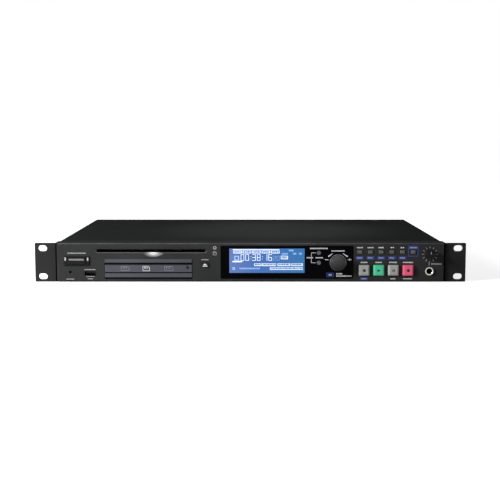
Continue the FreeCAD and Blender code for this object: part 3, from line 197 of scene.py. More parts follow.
cover_paint = finish("cover_paint", (0.0225, 0.0237, 0.0232), 0.55, vary=0.05, gloss=0.0, grain=1800, relief=0.00004)
ear_paint = finish("ear_paint", (0.026, 0.026, 0.027), 0.60, gloss=0.01, grain=1800, relief=0.00004)
fascia_skin = finish("fascia_skin", (0.036, 0.0365, 0.037), 0.52, gloss=0.0002, grain=4200)
# Painted shade: the fascia's finish turns darker just behind its front face, on its top skirt and on the walls of its
# cuts.
shade_along(fascia_skin, "Y", FACE + 0.9, FACE + 1.5, (0.026, 0.0263, 0.0265))
bezel_skin = finish("bezel_skin", (0.006, 0.006, 0.0065), 0.38, gloss=0.12, grain=4200)
flap_skin = finish("flap_skin", (0.074, 0.074, 0.090), 0.45, gloss=0.1, grain=3600)
# Near-black: the slot guide's own colour, and painted shade in the gaps, grooves and screw crosses that use it.
slot_black = finish("slot_black", (0.0015, 0.0015, 0.0015), 0.9, gloss=0.0, relief=0.00001)
window_gloss = finish("window_gloss", (0.0008, 0.0008, 0.0016), 0.08, gloss=0.02, vary=0.3, relief=0.000002)
# Light grey: the card ejector's own colour, and a painted highlight on the fascia's top edge.
edge_grey = finish("edge_grey", (0.092, 0.092, 0.093), 0.45, gloss=0.02, vary=0.25, cloud=60)
# Painted highlight for the lower beads round the disc slot.
lower_lip_highlight = finish("lower_lip_highlight", (0.115, 0.115, 0.115), 0.35, gloss=0.2)
dark_key = finish("dark_key", (0.020, 0.020, 0.021), 0.45, gloss=0.1)
row_key = finish("row_key", (0.125, 0.125, 0.128), 0.40, gloss=0.2)
pale_key = finish("pale_key", (0.41, 0.41, 0.395), 0.40, gloss=0.3)
green_key = lit("green_key", (0.050, 0.46, 0.25), 0.22)
red_key = lit("red_key", (0.74, 0.09, 0.19), 0.14)
dial_skin = finish("dial_skin", (0.002, 0.002, 0.0022), 0.34, gloss=0.16, stretch=(1, 1, 14), grain=900)
# Painted shade and light: the dial's finish is dark at the bottom and turns lighter towards the top.
shade_along(dial_skin, "Z", dial_z - 8, dial_z + 7.5, (0.070, 0.070, 0.072))
button_metal = finish("button_metal", (0.11, 0.11, 0.115), 0.28, metal=0.6, gloss=0.4, grain=3000)
ring_grey = finish("ring_grey", (0.05, 0.05, 0.052), 0.3, metal=0.5, gloss=0.25)
# Painted light: the dial's ring turns from dark at the bottom to light grey at the top.
shade_along(ring_grey, "Z", dial_z - 11, dial_z + 3, (0.36, 0.36, 0.37))
knob_skin = finish("knob_skin", (0.004, 0.004, 0.0045), 0.45, gloss=0.12)
dark_metal = finish("dark_metal", (0.022, 0.022, 0.023), 0.42, metal=0.3, gloss=0.2)
steel = finish("bare_steel", (0.56, 0.56, 0.57), 0.34, metal=1.0, gloss=0.5, stretch=(1, 20, 1), grain=700)
nut_plate = finish("nut_plate", (0.56, 0.54, 0.50), 0.22, metal=1.0, gloss=0.5, vary=0.06, relief=0.000002)
brass = finish("turned_brass", (0.72, 0.52, 0.21), 0.3, metal=1.0, gloss=0.5)
plated = finish("plated_shell", (0.40, 0.39, 0.37), 0.30, metal=1.0, gloss=0.5, grain=900)
board_green = finish("circuit_board", (0.012, 0.10, 0.035), 0.42, grain=900, cloud=140, vary=0.35)
flat_board = finish("flat_board", (0.012, 0.10, 0.035), 0.42, grain=900, cloud=140, vary=0.35)
shade_along(flat_board, "Z", BOARD_TOP + 0.05, BOARD_TOP + 0.1, (0.018, 0.018, 0.019))
black_plastic = finish("black_plastic", (0.014, 0.014, 0.015), 0.5, gloss=0.2)
rubber = finish("roller_rubber", (0.018, 0.018, 0.018), 0.75, gloss=0.1)
plate_black = finish("plate_black", (0.020, 0.020, 0.021), 0.34, metal=0.5, gloss=0.3, grain=1600)
contact_gold = finish("contact_gold", (0.62, 0.44, 0.17), 0.25, metal=1.0, gloss=0.5)
ring_white = finish("ring_white", (0.62, 0.62, 0.60), 0.4, gloss=0.3)
ring_red = finish("ring_red", (0.42, 0.02, 0.02), 0.4, gloss=0.3)
ring_orange = finish("ring_orange", (0.60, 0.19, 0.02), 0.4, gloss=0.3)
screw_black = finish("screw_black", (0.016, 0.016, 0.017), 0.42, metal=0.4, gloss=0.3)

CAD_FINISHES = {
    cover_paint: ("chassis_pan", "top_cover", "rear_panel"),
    ear_paint: ("left_rack_ear", "right_rack_ear"),
    screw_black: ("ear_screws", "cover_screws"),
    fascia_skin: ("front_fascia",),
    bezel_skin: ("power_bezel", "power_key"),
    flap_skin: ("card_door",),
    window_gloss: ("display_window", "lcd_module"),
    dark_key: ("eject_key",),
    row_key: tuple(f"function_key_{number}" for number in range(1, 7)),
    button_metal: ("menu_key", "display_key"),
    pale_key: ("stop_key", "pause_key"),
    green_key: ("play_key",),
    red_key: ("record_key",),
    dial_skin: ("jog_dial",),
    knob_skin: ("level_knob",),
    board_green: ("front_board", "side_board"),
    flat_board: ("main_board", "power_supply_board"),
    steel: ("drive_deck", "drive_lid", "lift_frame", "sled_rods", "spindle_motor", "jog_shaft"),
    dark_metal: ("usb_socket",),
    slot_black: ("slot_guide",),
    black_plastic: ("card_slot_unit", "tact_switches", "power_switch", "jog_encoder", "level_pot", "remote_jack", "pickup_sled",
                    "turntable", "disc_clamp", "mains_inlet", "phones_jack"),
    rubber: ("feed_roller",),
    brass: ("board_standoffs",),
    plate_black: ("balanced_inputs", "balanced_outputs"),
    plated: ("phono_sockets", "sync_socket", "control_ports"),
}


def dress_cad():
    """Give every CAD piece its finish."""
    for material, names in CAD_FINISHES.items():
        for name in names:
            slots = frame["nodes"][name].data.materials
            slots.clear()
            slots.append(material)


# Meshes.

def put(name, points, faces, material, body, smooth=30):
    """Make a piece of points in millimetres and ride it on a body."""
    mesh = bpy.data.meshes.new(name)
    mesh.from_pydata((np.asarray(points, float) * MM).tolist(), [], [list(map(int, face)) for face in faces])
    mesh.validate()
    mesh.materials.append(material)
    if smooth:
        mesh.shade_smooth()
        mesh.set_sharp_from_angle(angle=math.radians(smooth))
    piece = bpy.data.objects.new(name, mesh)
    bpy.context.scene.collection.objects.link(piece)
    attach(piece, body)
    return piece


def slabs(name, outlines, depth, material, body, thick=INK):
    """Flat prints: each outline, a row of X and Z places, becomes a slab standing on the face at depth.

    It stands towards the front, or towards the back with a negative thickness.
    """
    points, faces = [], []
    for outline in outlines:
        ring = np.asarray(outline, float)[::1 if thick > 0 else -1]
        count, first = len(ring), len(points)
        for y in (depth, depth - thick):
            points += [(x, y, z) for x, z in ring]
        near = [first + count + step for step in range(count)]
        far = [first + step for step in range(count)][::-1]
        faces += [near, far]
        for step in range(count):
            after = (step + 1) % count
            faces.append((first + step, first + after, first + count + after, first + count + step))
    return put(name, points, faces, material, body, smooth=None)


def bar(x, z, width, height):
    """Rectangle about its centre, turning from +X to +Z."""
    a, b = width / 2, height / 2
    return [(x - a, z - b), (x + a, z - b), (x + a, z + b), (x - a, z + b)]


def disc(x, z, radius, count=24):
    angle = np.linspace(0, 2 * math.pi, count, endpoint=False)
    return np.stack([x + radius * np.cos(angle), z + radius * np.sin(angle)], axis=1)


def frame_bars(x, z, width, height, line):
    """A hollow rectangle as four bars."""
    return [bar(x, z + (height - line) / 2, width, line), bar(x, z - (height - line) / 2, width, line),
            bar(x - (width - line) / 2, z, line, height - 2 * line),
            bar(x + (width - line) / 2, z, line, height - 2 * line)]


def wedge(x, z, width, height):
    """Triangle about its centre, pointing right, or left with a negative width."""
    a, b = width / 2, height / 2
    corners_in_turn = [(x - a, z - b), (x + a, z), (x - a, z + b)]
    return corners_in_turn if width > 0 else corners_in_turn[::-1]


def stroke(start, end, wide_start, wide_end):
    """Tapered line between two points."""
    a, b = np.array(start, float), np.array(end, float)
    along = (b - a) / np.linalg.norm(b - a)
    across = np.array([-along[1], along[0]]) / 2
    return [a - across * wide_start, b - across * wide_end, b + across * wide_end, a + across * wide_start]


def dashes(x, z, width, height, seed):
    """A row of short blocks of uneven widths, which stands where a word would."""
    random = np.random.default_rng(seed)
    gap = height * 0.28
    marks, left = [], x - width / 2
    while left < x + width / 2 - gap:
        wide = min(height * random.uniform(0.45, 0.8), x + width / 2 - left)
        marks.append(bar(left + wide / 2, z, wide, height))
        left += wide + gap
    return marks


def lathe(name, centre, profile, material, body, count=72, ribs=0, rib_depth=0.0, rib_span=None,
          ring=False):
    """Profile of Y places and radii turned about a line along Y; ribs press waves into part of it.

    A ring's profile joins up with its own start. Any other has a flat disc at each end.
    """
    y, radius = np.asarray(profile, float).T
    angle = np.linspace(0, 2 * math.pi, count, endpoint=False)
    grid = np.repeat(radius[:, None], count, axis=1)
    if ribs:
        low, high = rib_span
        held = ((y >= low) & (y <= high))[:, None]
        grid = grid - held * rib_depth * (0.5 + 0.5 * np.cos(ribs * angle))[None, :]
    x = centre[0] + grid * np.cos(angle)
    z = centre[1] + grid * np.sin(angle)
    depth = np.repeat(y[:, None], count, axis=1)
    points = np.stack([x, depth, z], axis=-1).reshape(-1, 3)
    level = np.arange(len(y) if ring else len(y) - 1)[:, None]
    here, following = level * count, (level + 1) % len(y) * count
    columns = np.arange(count)[None, :]
    after = (columns + 1) % count
    quads = np.stack([here + columns, here + after, following + after, following + columns], axis=-1)
    ends = [] if ring else [list(range(count))[::-1], [(len(y) - 1) * count + step for step in range(count)]]
    return put(name, points, quads.reshape(-1, 4).tolist() + ends, material, body)


def rounded_ring(half_across, half_up, corner, count=8):
    """Outline of a rounded rectangle: a quarter circle at each corner, joined by straight sides."""
    turn = np.linspace(0, math.pi / 2, count)
    arc = corner * np.stack([np.cos(turn), np.sin(turn)], axis=1)
    spans = []
    for quarter, (side, rise) in enumerate(((1, 1), (-1, 1), (-1, -1), (1, -1))):
        c, s = math.cos(quarter * math.pi / 2), math.sin(quarter * math.pi / 2)
        turned = arc @ np.array([[c, s], [-s, c]])
        spans.append(turned + [side * (half_across - corner), rise * (half_up - corner)])
    return np.concatenate(spans)


def cap(name, centre, half, levels, corner, material, body):
    """Rounded rectangles about one centre, each drawn in by its inset at its own depth, back to front."""
    rings = []
    for inset, y in levels:
        flat = rounded_ring(half[0] - inset, half[1] - inset, max(corner - inset, 0.08))
        rings.append(np.column_stack([centre[0] + flat[:, 0], np.full(len(flat), y), centre[1] + flat[:, 1]]))
    return loft(name, rings, material, body)


def loft(name, rings, material, body, smooth=30):
    """Skin over rings of equal counts, from the back one to the front one, with both ends closed."""
    count = len(rings[0])
    rows = np.arange(len(rings) - 1)[:, None] * count
    columns = np.arange(count)[None, :]
    after = (columns + 1) % count
    quads = np.stack([rows + columns, rows + after, rows + count + after, rows + count + columns], axis=-1)
    ends = [list(range(count))[::-1], [(len(rings) - 1) * count + step for step in range(count)]]
    return put(name, np.concatenate(rings), quads.reshape(-1, 4).tolist() + ends, material, body, smooth)


def tube(name, path, radius, material, body, sides=12):
    """Round bead along a line in one upright plane: circles spanned by Y and the line's own normal."""
    path = np.asarray(path, float)
    along = np.gradient(path, axis=0)
    along /= np.linalg.norm(along, axis=1, keepdims=True)
    across = np.column_stack([-along[:, 2], np.zeros(len(path)), along[:, 0]])
    turn = np.linspace(0, 2 * math.pi, sides, endpoint=False)
    out = across[:, None, :] * np.cos(turn)[None, :, None]
    out = out + np.array([0, -1, 0]) * np.sin(turn)[None, :, None]
    return loft(name, list(path[:, None, :] + radius * out), material, body, smooth=60)


def skin(name, front, thick, material, body):
    """Grid of points given a back a little behind it along Y, and closed round its rim."""
    rows, columns = front.shape[:2]
    back = front + np.array([0, thick, 0])
    index = np.arange(rows * columns).reshape(rows, columns)
    a, b, c, d = index[:-1, :-1], index[:-1, 1:], index[1:, 1:], index[1:, :-1]
    near = np.stack([a, b, c, d], axis=-1).reshape(-1, 4)
    far = near[:, ::-1] + rows * columns
    rim = np.concatenate([index[0, :], index[1:, -1], index[-1, -2::-1], index[-2:0:-1, 0]])
    after = np.roll(rim, -1)
    edge = np.stack([after, rim, rim + rows * columns, after + rows * columns], axis=-1)
    points = np.concatenate([front.reshape(-1, 3), back.reshape(-1, 3)])
    return put(name, points, np.concatenate([near, far, edge]).tolist(), material, body)


# Keys.

FLANGE = 1.0


def key_face(key):
    """Middle, half size and front plane of a key, without the flange behind the fascia."""
    low, high = corners(key)
    half = ((high[0] - low[0]) / 2 - FLANGE, (high[2] - low[2]) / 2 - FLANGE)
    return middle(key), half, low[1]


def transport_keys():
    """Square keys with a wide bevel and a face dished by a hair."""
    for key, material, slot in (("stop_key", pale_key, "pale_key"), ("play_key", green_key, "green_key"),
                                ("pause_key", pale_key, "pale_key"), ("record_key", red_key, "red_key")):
        centre, half, near = key_face(key)
        levels = [(0, FACE + 1.2), (0, near + 1.8), (0.1, near + 1.6), (1.35, near + 0.2), (1.5, near + 0.06),
                  (1.75, near), (2.8, near + 0.06), (4.2, near + 0.1)]
        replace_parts(cap(f"{key}_cap", centre, half, levels, 0.9, material, key), key)


def row_keys():
    """Small keys with a wide bevel round a hollow."""
    for number in range(1, 7):
        key = f"function_key_{number}"
        centre, half, near = key_face(key)
        levels = [(0, FACE + 1.2), (0, near + 0.75), (0.08, near + 0.6), (0.62, near + 0.06), (0.75, near),
                  (0.9, near + 0.04), (1.15, near + 0.3), (1.3, near + 0.36)]
        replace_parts(cap(f"{key}_cap", centre, half, levels, 0.5, row_key, key), key)


def round_keys():
    """Small turned keys with a ring edge and a hollow middle."""
    for key in ("menu_key", "display_key"):
        centre, half, near = key_face(key)
        radius = half[0]
        profile = [(FACE + 1.2, 0.05), (FACE + 1.2, radius), (near + 0.5, radius), (near + 0.15, radius - 0.15),
                   (near, radius - 0.5), (near + 0.05, radius - 0.75), (near + 0.3, radius - 1.2),
                   (near + 0.42, 0.05)]
        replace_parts(lathe(f"{key}_cap", centre, profile, button_metal, key, count=40), key)


def eject_cap():
    centre, half, near = key_face("eject_key")
    levels = [(0, FACE + 1.2), (0, near + 0.4), (0.12, near + 0.12), (0.4, near), (1.2, near + 0.04)]
    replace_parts(cap("eject_key_cap", centre, half, levels, 1.0, dark_key, "eject_key"), "eject_key")


# Front trim.

def slot_lip():
    """Beads round the disc slot, each a quarter circle at an end of the slot and a straight run.

    The lower ones stop at the notch and carry a painted highlight in light grey; the upper ones meet in the middle.
    """
    reach, half = SLOT_LONG / 2, SLOT_TALL / 2
    radius = half + 0.45
    turn = np.linspace(0, math.pi / 2, 10)
    for side, name in ((-1, "left_slot_lip"), (1, "right_slot_lip")):
        stop = NOTCH_ASIDE + side * (NOTCH_WIDE / 2 - 0.6)
        x = np.concatenate([side * (reach - half + radius * np.cos(turn)), [stop]])
        z = np.concatenate([-radius * np.sin(turn), [-radius]])
        path = np.column_stack([SLOT_X + x, np.full(len(x), FACE + 0.5), SLOT_Z + z])
        # Painted highlight: the lower beads are light grey.
        tube(name, path[::side], 0.45, lower_lip_highlight, "case")
    turn = np.linspace(0, math.pi / 2, 10)
    inner = half - 0.2
    x = np.concatenate([-(reach - half) - inner * np.cos(turn), reach - half + inner * np.cos(turn[::-1])])
    z = np.concatenate([inner * np.sin(turn), inner * np.sin(turn[::-1])])
    path = np.column_stack([SLOT_X + x, np.full(len(x), FACE + 0.75), SLOT_Z + z])
    tube("upper_slot_lip", path, 0.75, fascia_skin, "case")


def notch_scoop():
    """Skin in the thumb notch with a painted highlight, on the cone that the notch is cut to.

    A second skin lies on the slot's bevel over the notch, which goes back by as much as it rises.
    """
    lip = SLOT_Z - SLOT_TALL / 2 - SLOT_BEVEL
    chord = NOTCH_WIDE / 2 - 0.3
    radius = (NOTCH_WIDE ** 2 / 4 + NOTCH_DROP ** 2) / (2 * NOTCH_DROP)
    centre = lip - NOTCH_DROP + radius
    across = np.linspace(-chord, chord, 41)[:, None]
    down = np.linspace(0, 1, 11)[None, :]
    bottom = centre - np.sqrt(radius ** 2 - across ** 2)
    z = lip + (bottom - lip) * down
    y = FACE + NOTCH_DEEP * (radius - np.hypot(across, centre - z)) / NOTCH_DROP - 0.05
    x = SLOT_X + NOTCH_ASIDE + across + 0 * down
    grid = np.stack([x, y, z], axis=-1)[:, ::-1]
    notch_highlight = notch_painted_highlight(lip)
    skin("notch_scoop", grid, 0.2, notch_highlight, "case")
    rise = np.linspace(SLOT_BEVEL, 0, 3)[None, :] + 0 * across
    brow = np.stack([SLOT_X + NOTCH_ASIDE + across + 0 * rise, FACE + rise - 0.04, lip + rise], axis=-1)
    skin("notch_brow", brow, 0.03, notch_highlight, "case")


def notch_painted_highlight(lip):
    """Painted highlight in the notch, glowing a little: light at the top middle, dark towards its ends."""
    material, tree, shader = nodes_of("notch_painted_highlight")
    place = tree.nodes.new("ShaderNodeTexCoord")
    mapping = tree.nodes.new("ShaderNodeMapping")
    reach = np.array([11.5, 60.0, 5.2]) * MM
    centre = np.array([SLOT_X + NOTCH_ASIDE, FACE, lip + 0.3]) * MM
    mapping.inputs["Scale"].default_value = 1 / reach
    mapping.inputs["Location"].default_value = -centre / reach
    ball = tree.nodes.new("ShaderNodeTexGradient")
    ball.gradient_type = "SPHERICAL"
    ramp = tree.nodes.new("ShaderNodeValToRGB")
    ramp.color_ramp.elements[0].color = (0.03, 0.03, 0.03, 1)
    ramp.color_ramp.elements[1].color = (0.92, 0.92, 0.92, 1)
    ramp.color_ramp.elements[1].position = 0.84
    ramp.color_ramp.elements.new(0.35).color = (0.14, 0.14, 0.14, 1)
    ramp.color_ramp.elements.new(0.60).color = (0.47, 0.47, 0.47, 1)
    tree.links.new(place.outputs["Object"], mapping.inputs["Vector"])
    tree.links.new(mapping.outputs["Vector"], ball.inputs["Vector"])
    tree.links.new(ball.outputs["Fac"], ramp.inputs["Fac"])
    tree.links.new(ramp.outputs["Color"], shader.inputs["Base Color"])
    tree.links.new(ramp.outputs["Color"], shader.inputs["Emission Color"])
    # Painted light: the notch's highlight glows, though no lamp is in it.
    shader.inputs["Emission Strength"].default_value = 0.48
    tree.links.new(spread(tree, noise(tree, 3000), 0.25, 0.4), shader.inputs["Roughness"])
    shader.inputs["Specular IOR Level"].default_value = 0.4
    return material


def top_edge_highlight():
    """Painted highlight: a light grey quarter circle carried along the fascia's rounded top edge."""
    left, right, top = fascia_low[0] + 0.8, fascia_high[0] - 0.8, fascia_high[2]
    turn = np.linspace(0.12, math.pi / 2 - 0.12, 7)[:, None]
    x = np.linspace(left, right, 25)[None, :]
    y = FACE + 1.0 - 1.03 * np.cos(turn) + 0 * x
    z = top - 1.0 + 1.0 * np.sin(turn) + 0 * x
    grid = np.stack([x + 0 * turn, y, z], axis=-1)
    skin("top_edge_highlight", grid, 0.05, edge_grey, "case")


def door_trim():
    """Bar over the card door, its screw and three small card marks, with painted shade in the groove across the door,
    along its bottom and top edges, in the seam under the bar and round the screw.
    """
    near = door_low[1]
    left, right = door_low[0] + 2.2, door_high[0] - 2.2
    centre = ((left + right) / 2, (BAR_LOW + BAR_HIGH) / 2)
    half = ((right - left) / 2, (BAR_HIGH - BAR_LOW) / 2)
    levels = [(0, FACE + 0.5), (0, near + 0.3), (0.1, near + 0.1), (0.35, near - 0.02), (1.2, near - 0.03)]
    cap("door_bar", centre, half, levels, 0.4, flap_skin, "case")
    # Painted shade: near-black strips in the groove, along the door's bottom and top edges and in the seam under the
    # bar.
    groove = [bar(centre[0], (DOOR_SPLIT_LOW + DOOR_SPLIT_HIGH) / 2, right - left - 0.1,
                  DOOR_SPLIT_HIGH - DOOR_SPLIT_LOW - 0.05)]
    edges = [bar(centre[0], z, right - left - 0.4, tall)
             for z, tall in ((door_low[2] + 0.55, 0.7), (door_high[2] - 0.35, 0.5))]
    slabs("door_edge_shade", edges, near + 0.01, slot_black, "card_door", thick=0.04)
    slabs("door_groove_shade", groove, near + 0.35, slot_black, "card_door", thick=0.02)
    seam = [bar(centre[0], BAR_LOW - 0.72, right - left, 1.4)]
    slabs("door_seam_shade", seam, FACE + 0.02, slot_black, "case", thick=0.06)
    marks = []
    for x, wide in ((-140.0, 9.0), (-91.3, 9.6)):
        marks += card_mark(x, 15.4, wide, 4.6)
    slabs("door_marks", marks, near, soft_ink, "card_door")
    slabs("door_bright_mark", card_mark(-116.5, 15.4, 7.4, 5.2), near, white_ink, "card_door")
    screw_x, screw_z = right - 4.9, 16.4
    # Painted shade: a near-black ring round the screw stands for the shade of its countersink.
    slabs("door_screw_shade", ring_mark(screw_x, screw_z, 1.15, 1.65, 24), near, slot_black, "card_door")
    slabs("door_screw", [disc(screw_x, screw_z, 1.05, 20)], near + 1.2, screw_black, "card_door",
          thick=0.6)


def card_mouths():
    """Raised frames round the mouths of the two card slots, a push button that ejects the wide card, and marks."""
    near = corners("card_slot_unit")[0][1]
    frames, marks = [], []
    for number, (x, wide) in enumerate((WIDE_CARD, SMALL_CARD)):
        frames += frame_bars(x, CARD_Z, wide + 2.6, CARD_TALL + 2.6, 1.1)
        marks += dashes(x, CARD_Z + 5.4, 9.0, 1.3, 140 + number)
    slabs("card_frames", frames, near, dark_key, "case", thick=0.5)
    slabs("card_labels", marks, near, soft_ink, "case")
    levels = [(0, near + 0.1), (0, near - 0.9), (0.3, near - 1.2), (0.9, near - 1.15)]
    cap("card_ejector", (EJECTOR_X, CARD_Z), (1.9, 2.4), levels, 0.5, edge_grey, "case")


def ear_gap_shade():
    """Painted shade: near-black strips that fill the gap between the fascia's ends and the bends of the ears."""
    low, high = corners("left_rack_ear")
    height = high[2] - low[2] - 0.6
    wide = 2.0
    gap_shades = [bar(side * (fascia_high[0] + wide / 2), (low[2] + high[2]) / 2, wide, height) for side in (-1, 1)]
    slabs("ear_gap_shade_strips", gap_shades, low[1] + 1.4, slot_black, "case", thick=1.35)


def card_mark(x, z, wide, tall):
    """Outline of a memory card with one clipped corner and its row of contacts."""
    line = 0.5
    left, right, low, high = x - wide / 2, x + wide / 2, z - tall / 2, z + tall / 2
    clip = tall * 0.3
    marks = [stroke((left, low), (right, low), line, line), stroke((right, low), (right, high - clip), line, line),
             stroke((right, high - clip), (right - clip, high), line, line),
             stroke((right - clip, high), (left, high), line, line), stroke((left, high), (left, low), line, line)]
    for step in range(3):
        marks.append(bar(left + wide * (0.25 + 0.2 * step), high - tall * 0.35, wide * 0.09, tall * 0.32))
    return marks


def power_trim():
    """Painted highlights: a light strip on the power key and a light mark on each cheek of its frame."""
    x, z = middle("power_bezel")
    key_near = corners("power_key")[0][1]
    strip = rounded_ring(8.4, 1.0, 0.3, 4) + [x, z + 1.85]
    slabs("power_key_highlight_strip", [strip], key_near, key_strip_painted_highlight, "power_key")
    frame_near = corners("power_bezel")[0][1]
    cheeks = [rounded_ring(0.75, 1.9, 0.6, 5) + [x + side * 12.55, z + 2.3] for side in (-1, 1)]
    slabs("power_cheek_highlights", cheeks, frame_near, cheek_painted_highlight, "case")


# Knobs.

def jog_dial():
    """Dial: a dark skirt with a ring painted light at its top, and a cap with a ribbed side, round shoulder and domed
    face, painted lighter at the top than at the bottom.
    """
    low, high = corners("jog_dial")
    back, tip = high[1], low[1]
    radius = (high[0] - low[0]) / 2
    centre = middle("jog_dial")
    cap_radius, step = radius * 0.868, back - 1.45
    skirt = [(back, 2.05), (back, radius - 0.3), (back - 0.3, radius), (back - 1.0, radius), (back - 1.3, radius - 0.3),
             (step + 0.1, cap_radius + 0.3), (step + 0.1, 2.05)]
    turned = lathe("dial_skirt", centre, skirt, knob_skin, "jog_dial", count=96)
    ring = [(back - 1.25, radius - 0.3), (back - 1.4, radius - 0.35), (back - 1.48, radius - 0.6),
            (back - 1.38, radius - 0.85), (back - 1.25, radius - 0.9)]
    lathe("dial_ring", centre, ring, ring_grey, "jog_dial", count=96, ring=True)
    edge = cap_radius - 0.02 * (step - tip)
    profile = [(step + 0.1, 2.05), (step + 0.1, cap_radius - 0.3), (step - 0.3, cap_radius)]
    dome, fillet = 24.0, 0.9
    inner = (edge - fillet) / (1 - fillet / dome)
    slope = math.asin(inner / dome)
    shoulder = tip + dome - (dome - fillet) * math.cos(slope)
    profile += [(y, cap_radius - 0.02 * (step - y)) for y in np.linspace(step - 0.6, shoulder + 0.4, 6)]
    profile += [(shoulder - fillet * math.sin(a), edge - fillet + fillet * math.cos(a))
                for a in np.linspace(0, math.pi / 2 - slope, 6)]
    profile += [(tip + dome - math.sqrt(dome ** 2 - out ** 2), out) for out in np.linspace(inner, 0.05, 14)[1:]]
    dial = lathe("dial_cap", centre, profile, dial_skin, "jog_dial", count=180,
                 ribs=60, rib_depth=0.28, rib_span=(shoulder + 0.39, step - 0.59))
    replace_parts(turned, "jog_dial")
    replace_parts(dial, "jog_dial")


def level_knob():
    """Small fluted knob with a pointer line."""
    low, high = corners("level_knob")
    tip = low[1]
    radius = (high[0] - low[0]) / 2
    back = FACE - 0.5
    shaft = [(high[1], 0.05), (high[1], 3.0), (back + 0.01, 3.0)]
    body = [(back, radius - 0.2), (back - 0.2, radius), (back - 1.6, radius), (back - 1.8, radius - 0.45)]
    side = [(y, radius - 0.5 - 0.03 * (back - y)) for y in np.linspace(back - 2.1, tip + 0.9, 5)]
    top = [(tip + 0.3, radius - 0.95), (tip + 0.05, radius - 1.4), (tip, radius - 1.8), (tip, 0.05)]
    centre = middle("level_knob")
    knob = lathe("knob_turned", centre, shaft + body + side + top, knob_skin, "level_knob",
                 count=144, ribs=24, rib_depth=0.35, rib_span=(tip + 0.89, back - 2.05))
    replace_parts(knob, "level_knob")
    line = [bar(centre[0], centre[1] + radius * 0.42, 0.7, radius * 0.55)]
    slabs("knob_pointer", line, tip, grey_ink, "level_knob")


def phones_ring():
    """Plated nut round the headphone bore."""
    centre = middle("phones_jack")
    near = corners("phones_jack")[0][1]
    inner = 3.3
    profile = [(FACE + 0.2, 4.66), (near - 0.55, 4.66), (near - 0.75, 4.5), (near - 0.7, 4.35), (near - 0.5, 4.0),
               (near - 0.26, 3.6), (near - 0.04, inner), (FACE + 0.2, inner)]
    lathe("phones_nut", centre, profile, nut_plate, "case", count=72, ring=True)


# Rear sockets.

def rear_slabs(name, outlines, depth, tall, material):
    """Slabs that stand on a rear face and rise from it by a height."""
    slabs(name, outlines, depth, material, "case", thick=-tall)


def contact_places(centre, turn, radius=4.7):
    """Three contacts at equal angles round a centre, the first one straight up when turned by 90 degrees."""
    angle = math.radians(turn) + np.arange(3) * 2 * math.pi / 3
    return np.stack([centre[0] + radius * np.cos(angle), centre[1] + radius * np.sin(angle)], axis=1)


def balanced_trim():
    """Bright shell rims, pins, screws and latch tabs of the four round sockets."""
    plate, outer, inner = 26.0, 11.8, 9.6
    pins, screws, crosses, latches = [], [], [], []
    for node, turn in (("balanced_inputs", 90), ("balanced_outputs", 270)):
        low, high = corners(node)
        for number, x in enumerate((low[0] + plate / 2, high[0] - plate / 2), start=1):
            centre = (x, (low[2] + high[2]) / 2)
            rim = [(high[1] + 0.8, outer - 0.3), (high[1] + 0.6, outer), (high[1] - 0.1, outer),
                   (high[1] - 0.1, inner), (high[1] + 0.6, inner), (high[1] + 0.8, inner + 0.3)]
            lathe(f"{node}_rim_{number}", centre, rim, plated, "case", count=60, ring=True)
            if node == "balanced_outputs":
                pins += [disc(*place, 1.25, 16) for place in contact_places(centre, turn)]
            else:
                latches.append(bar(x, centre[1] + 13.7, 6.0, 2.0))
            for side in (-1, 1):
                spot = (x + side * 10.4, centre[1] - side * 12.8)
                screws.append(disc(*spot, 2.2, 20))
                crosses += [bar(*spot, 2.6, 0.6), bar(*spot, 0.6, 2.6)]
    rear_slabs("balanced_pins", pins, high[1] - 13.9, 12.0, contact_gold)
    rear_slabs("balanced_screws", screws, high[1], 0.7, screw_black)
    # Painted shade: near-black crosses stand for the recesses in the socket screws.
    rear_slabs("balanced_crosses", crosses, high[1] + 0.7, 0.02, slot_black)
    rear_slabs("balanced_latches", latches, high[1], 1.2, plated)


def phono_trim():
    """Coloured insulators in the mouths of the phono sockets and a ring round each barrel's foot."""
    low, high = corners("phono_sockets")
    border, pitch, bore, barrel = 7.0, 14.5, 1.7, 4.15
    panel = corners("rear_panel")[1][1]
    for column, colour, name in ((0, ring_orange, "digital"), (1, ring_red, "right"), (2, ring_white, "left")):
        mouths, feet = [], []
        for line in range(2):
            centre = (low[0] + border + pitch * column, low[2] + border + pitch * line)
            mouths += ring_mark(*centre, bore, barrel - 0.7, 24)
            feet += ring_mark(*centre, barrel, barrel + 1.5, 24)
        rear_slabs(f"phono_mouths_{name}", mouths, high[1], 0.15, colour)
        rear_slabs(f"phono_feet_{name}", feet, panel, 1.2, black_plastic if column else plate_black)


def port_trim():
    """Dark insert and rows of contacts of the two control ports, and hexagons on their nuts."""
    low, high = corners("control_ports")
    ear, nut, slope = 7.2, 2.6, 0.9
    wide, narrow, tall = 38.4, 16.4, 8.0
    z = (low[2] + high[2]) / 2
    inserts, contacts, nuts = [], [], []
    for x, width, count in ((high[0] - ear - wide / 2, wide, 13), (low[0] + ear + narrow / 2, narrow, 5)):
        reach, rise = width / 2 - 1.2, tall / 2 - 1.1
        inserts.append([(x - reach + slope, z - rise), (x + reach - slope, z - rise), (x + reach, z + rise),
                        (x - reach, z + rise)])
        for line, shift in ((count, 1.4), (count - 1, -1.4)):
            across = x + 2.76 * (np.arange(line) - (line - 1) / 2)
            contacts += [disc(place, z + shift, 0.55, 10) for place in across]
        for side in (-1, 1):
            nuts.append(ring_mark(x + side * (width / 2 + ear - nut), z, 1.3, 2.3, 6))
    rear_slabs("port_inserts", inserts, high[1], 0.05, black_plastic)
    rear_slabs("port_contacts", contacts, high[1] + 0.05, 0.25, contact_gold)
    nut_face = corners("rear_panel")[1][1] + 4.4
    rear_slabs("port_nuts", sum(nuts, []), nut_face, 0.3, plated)


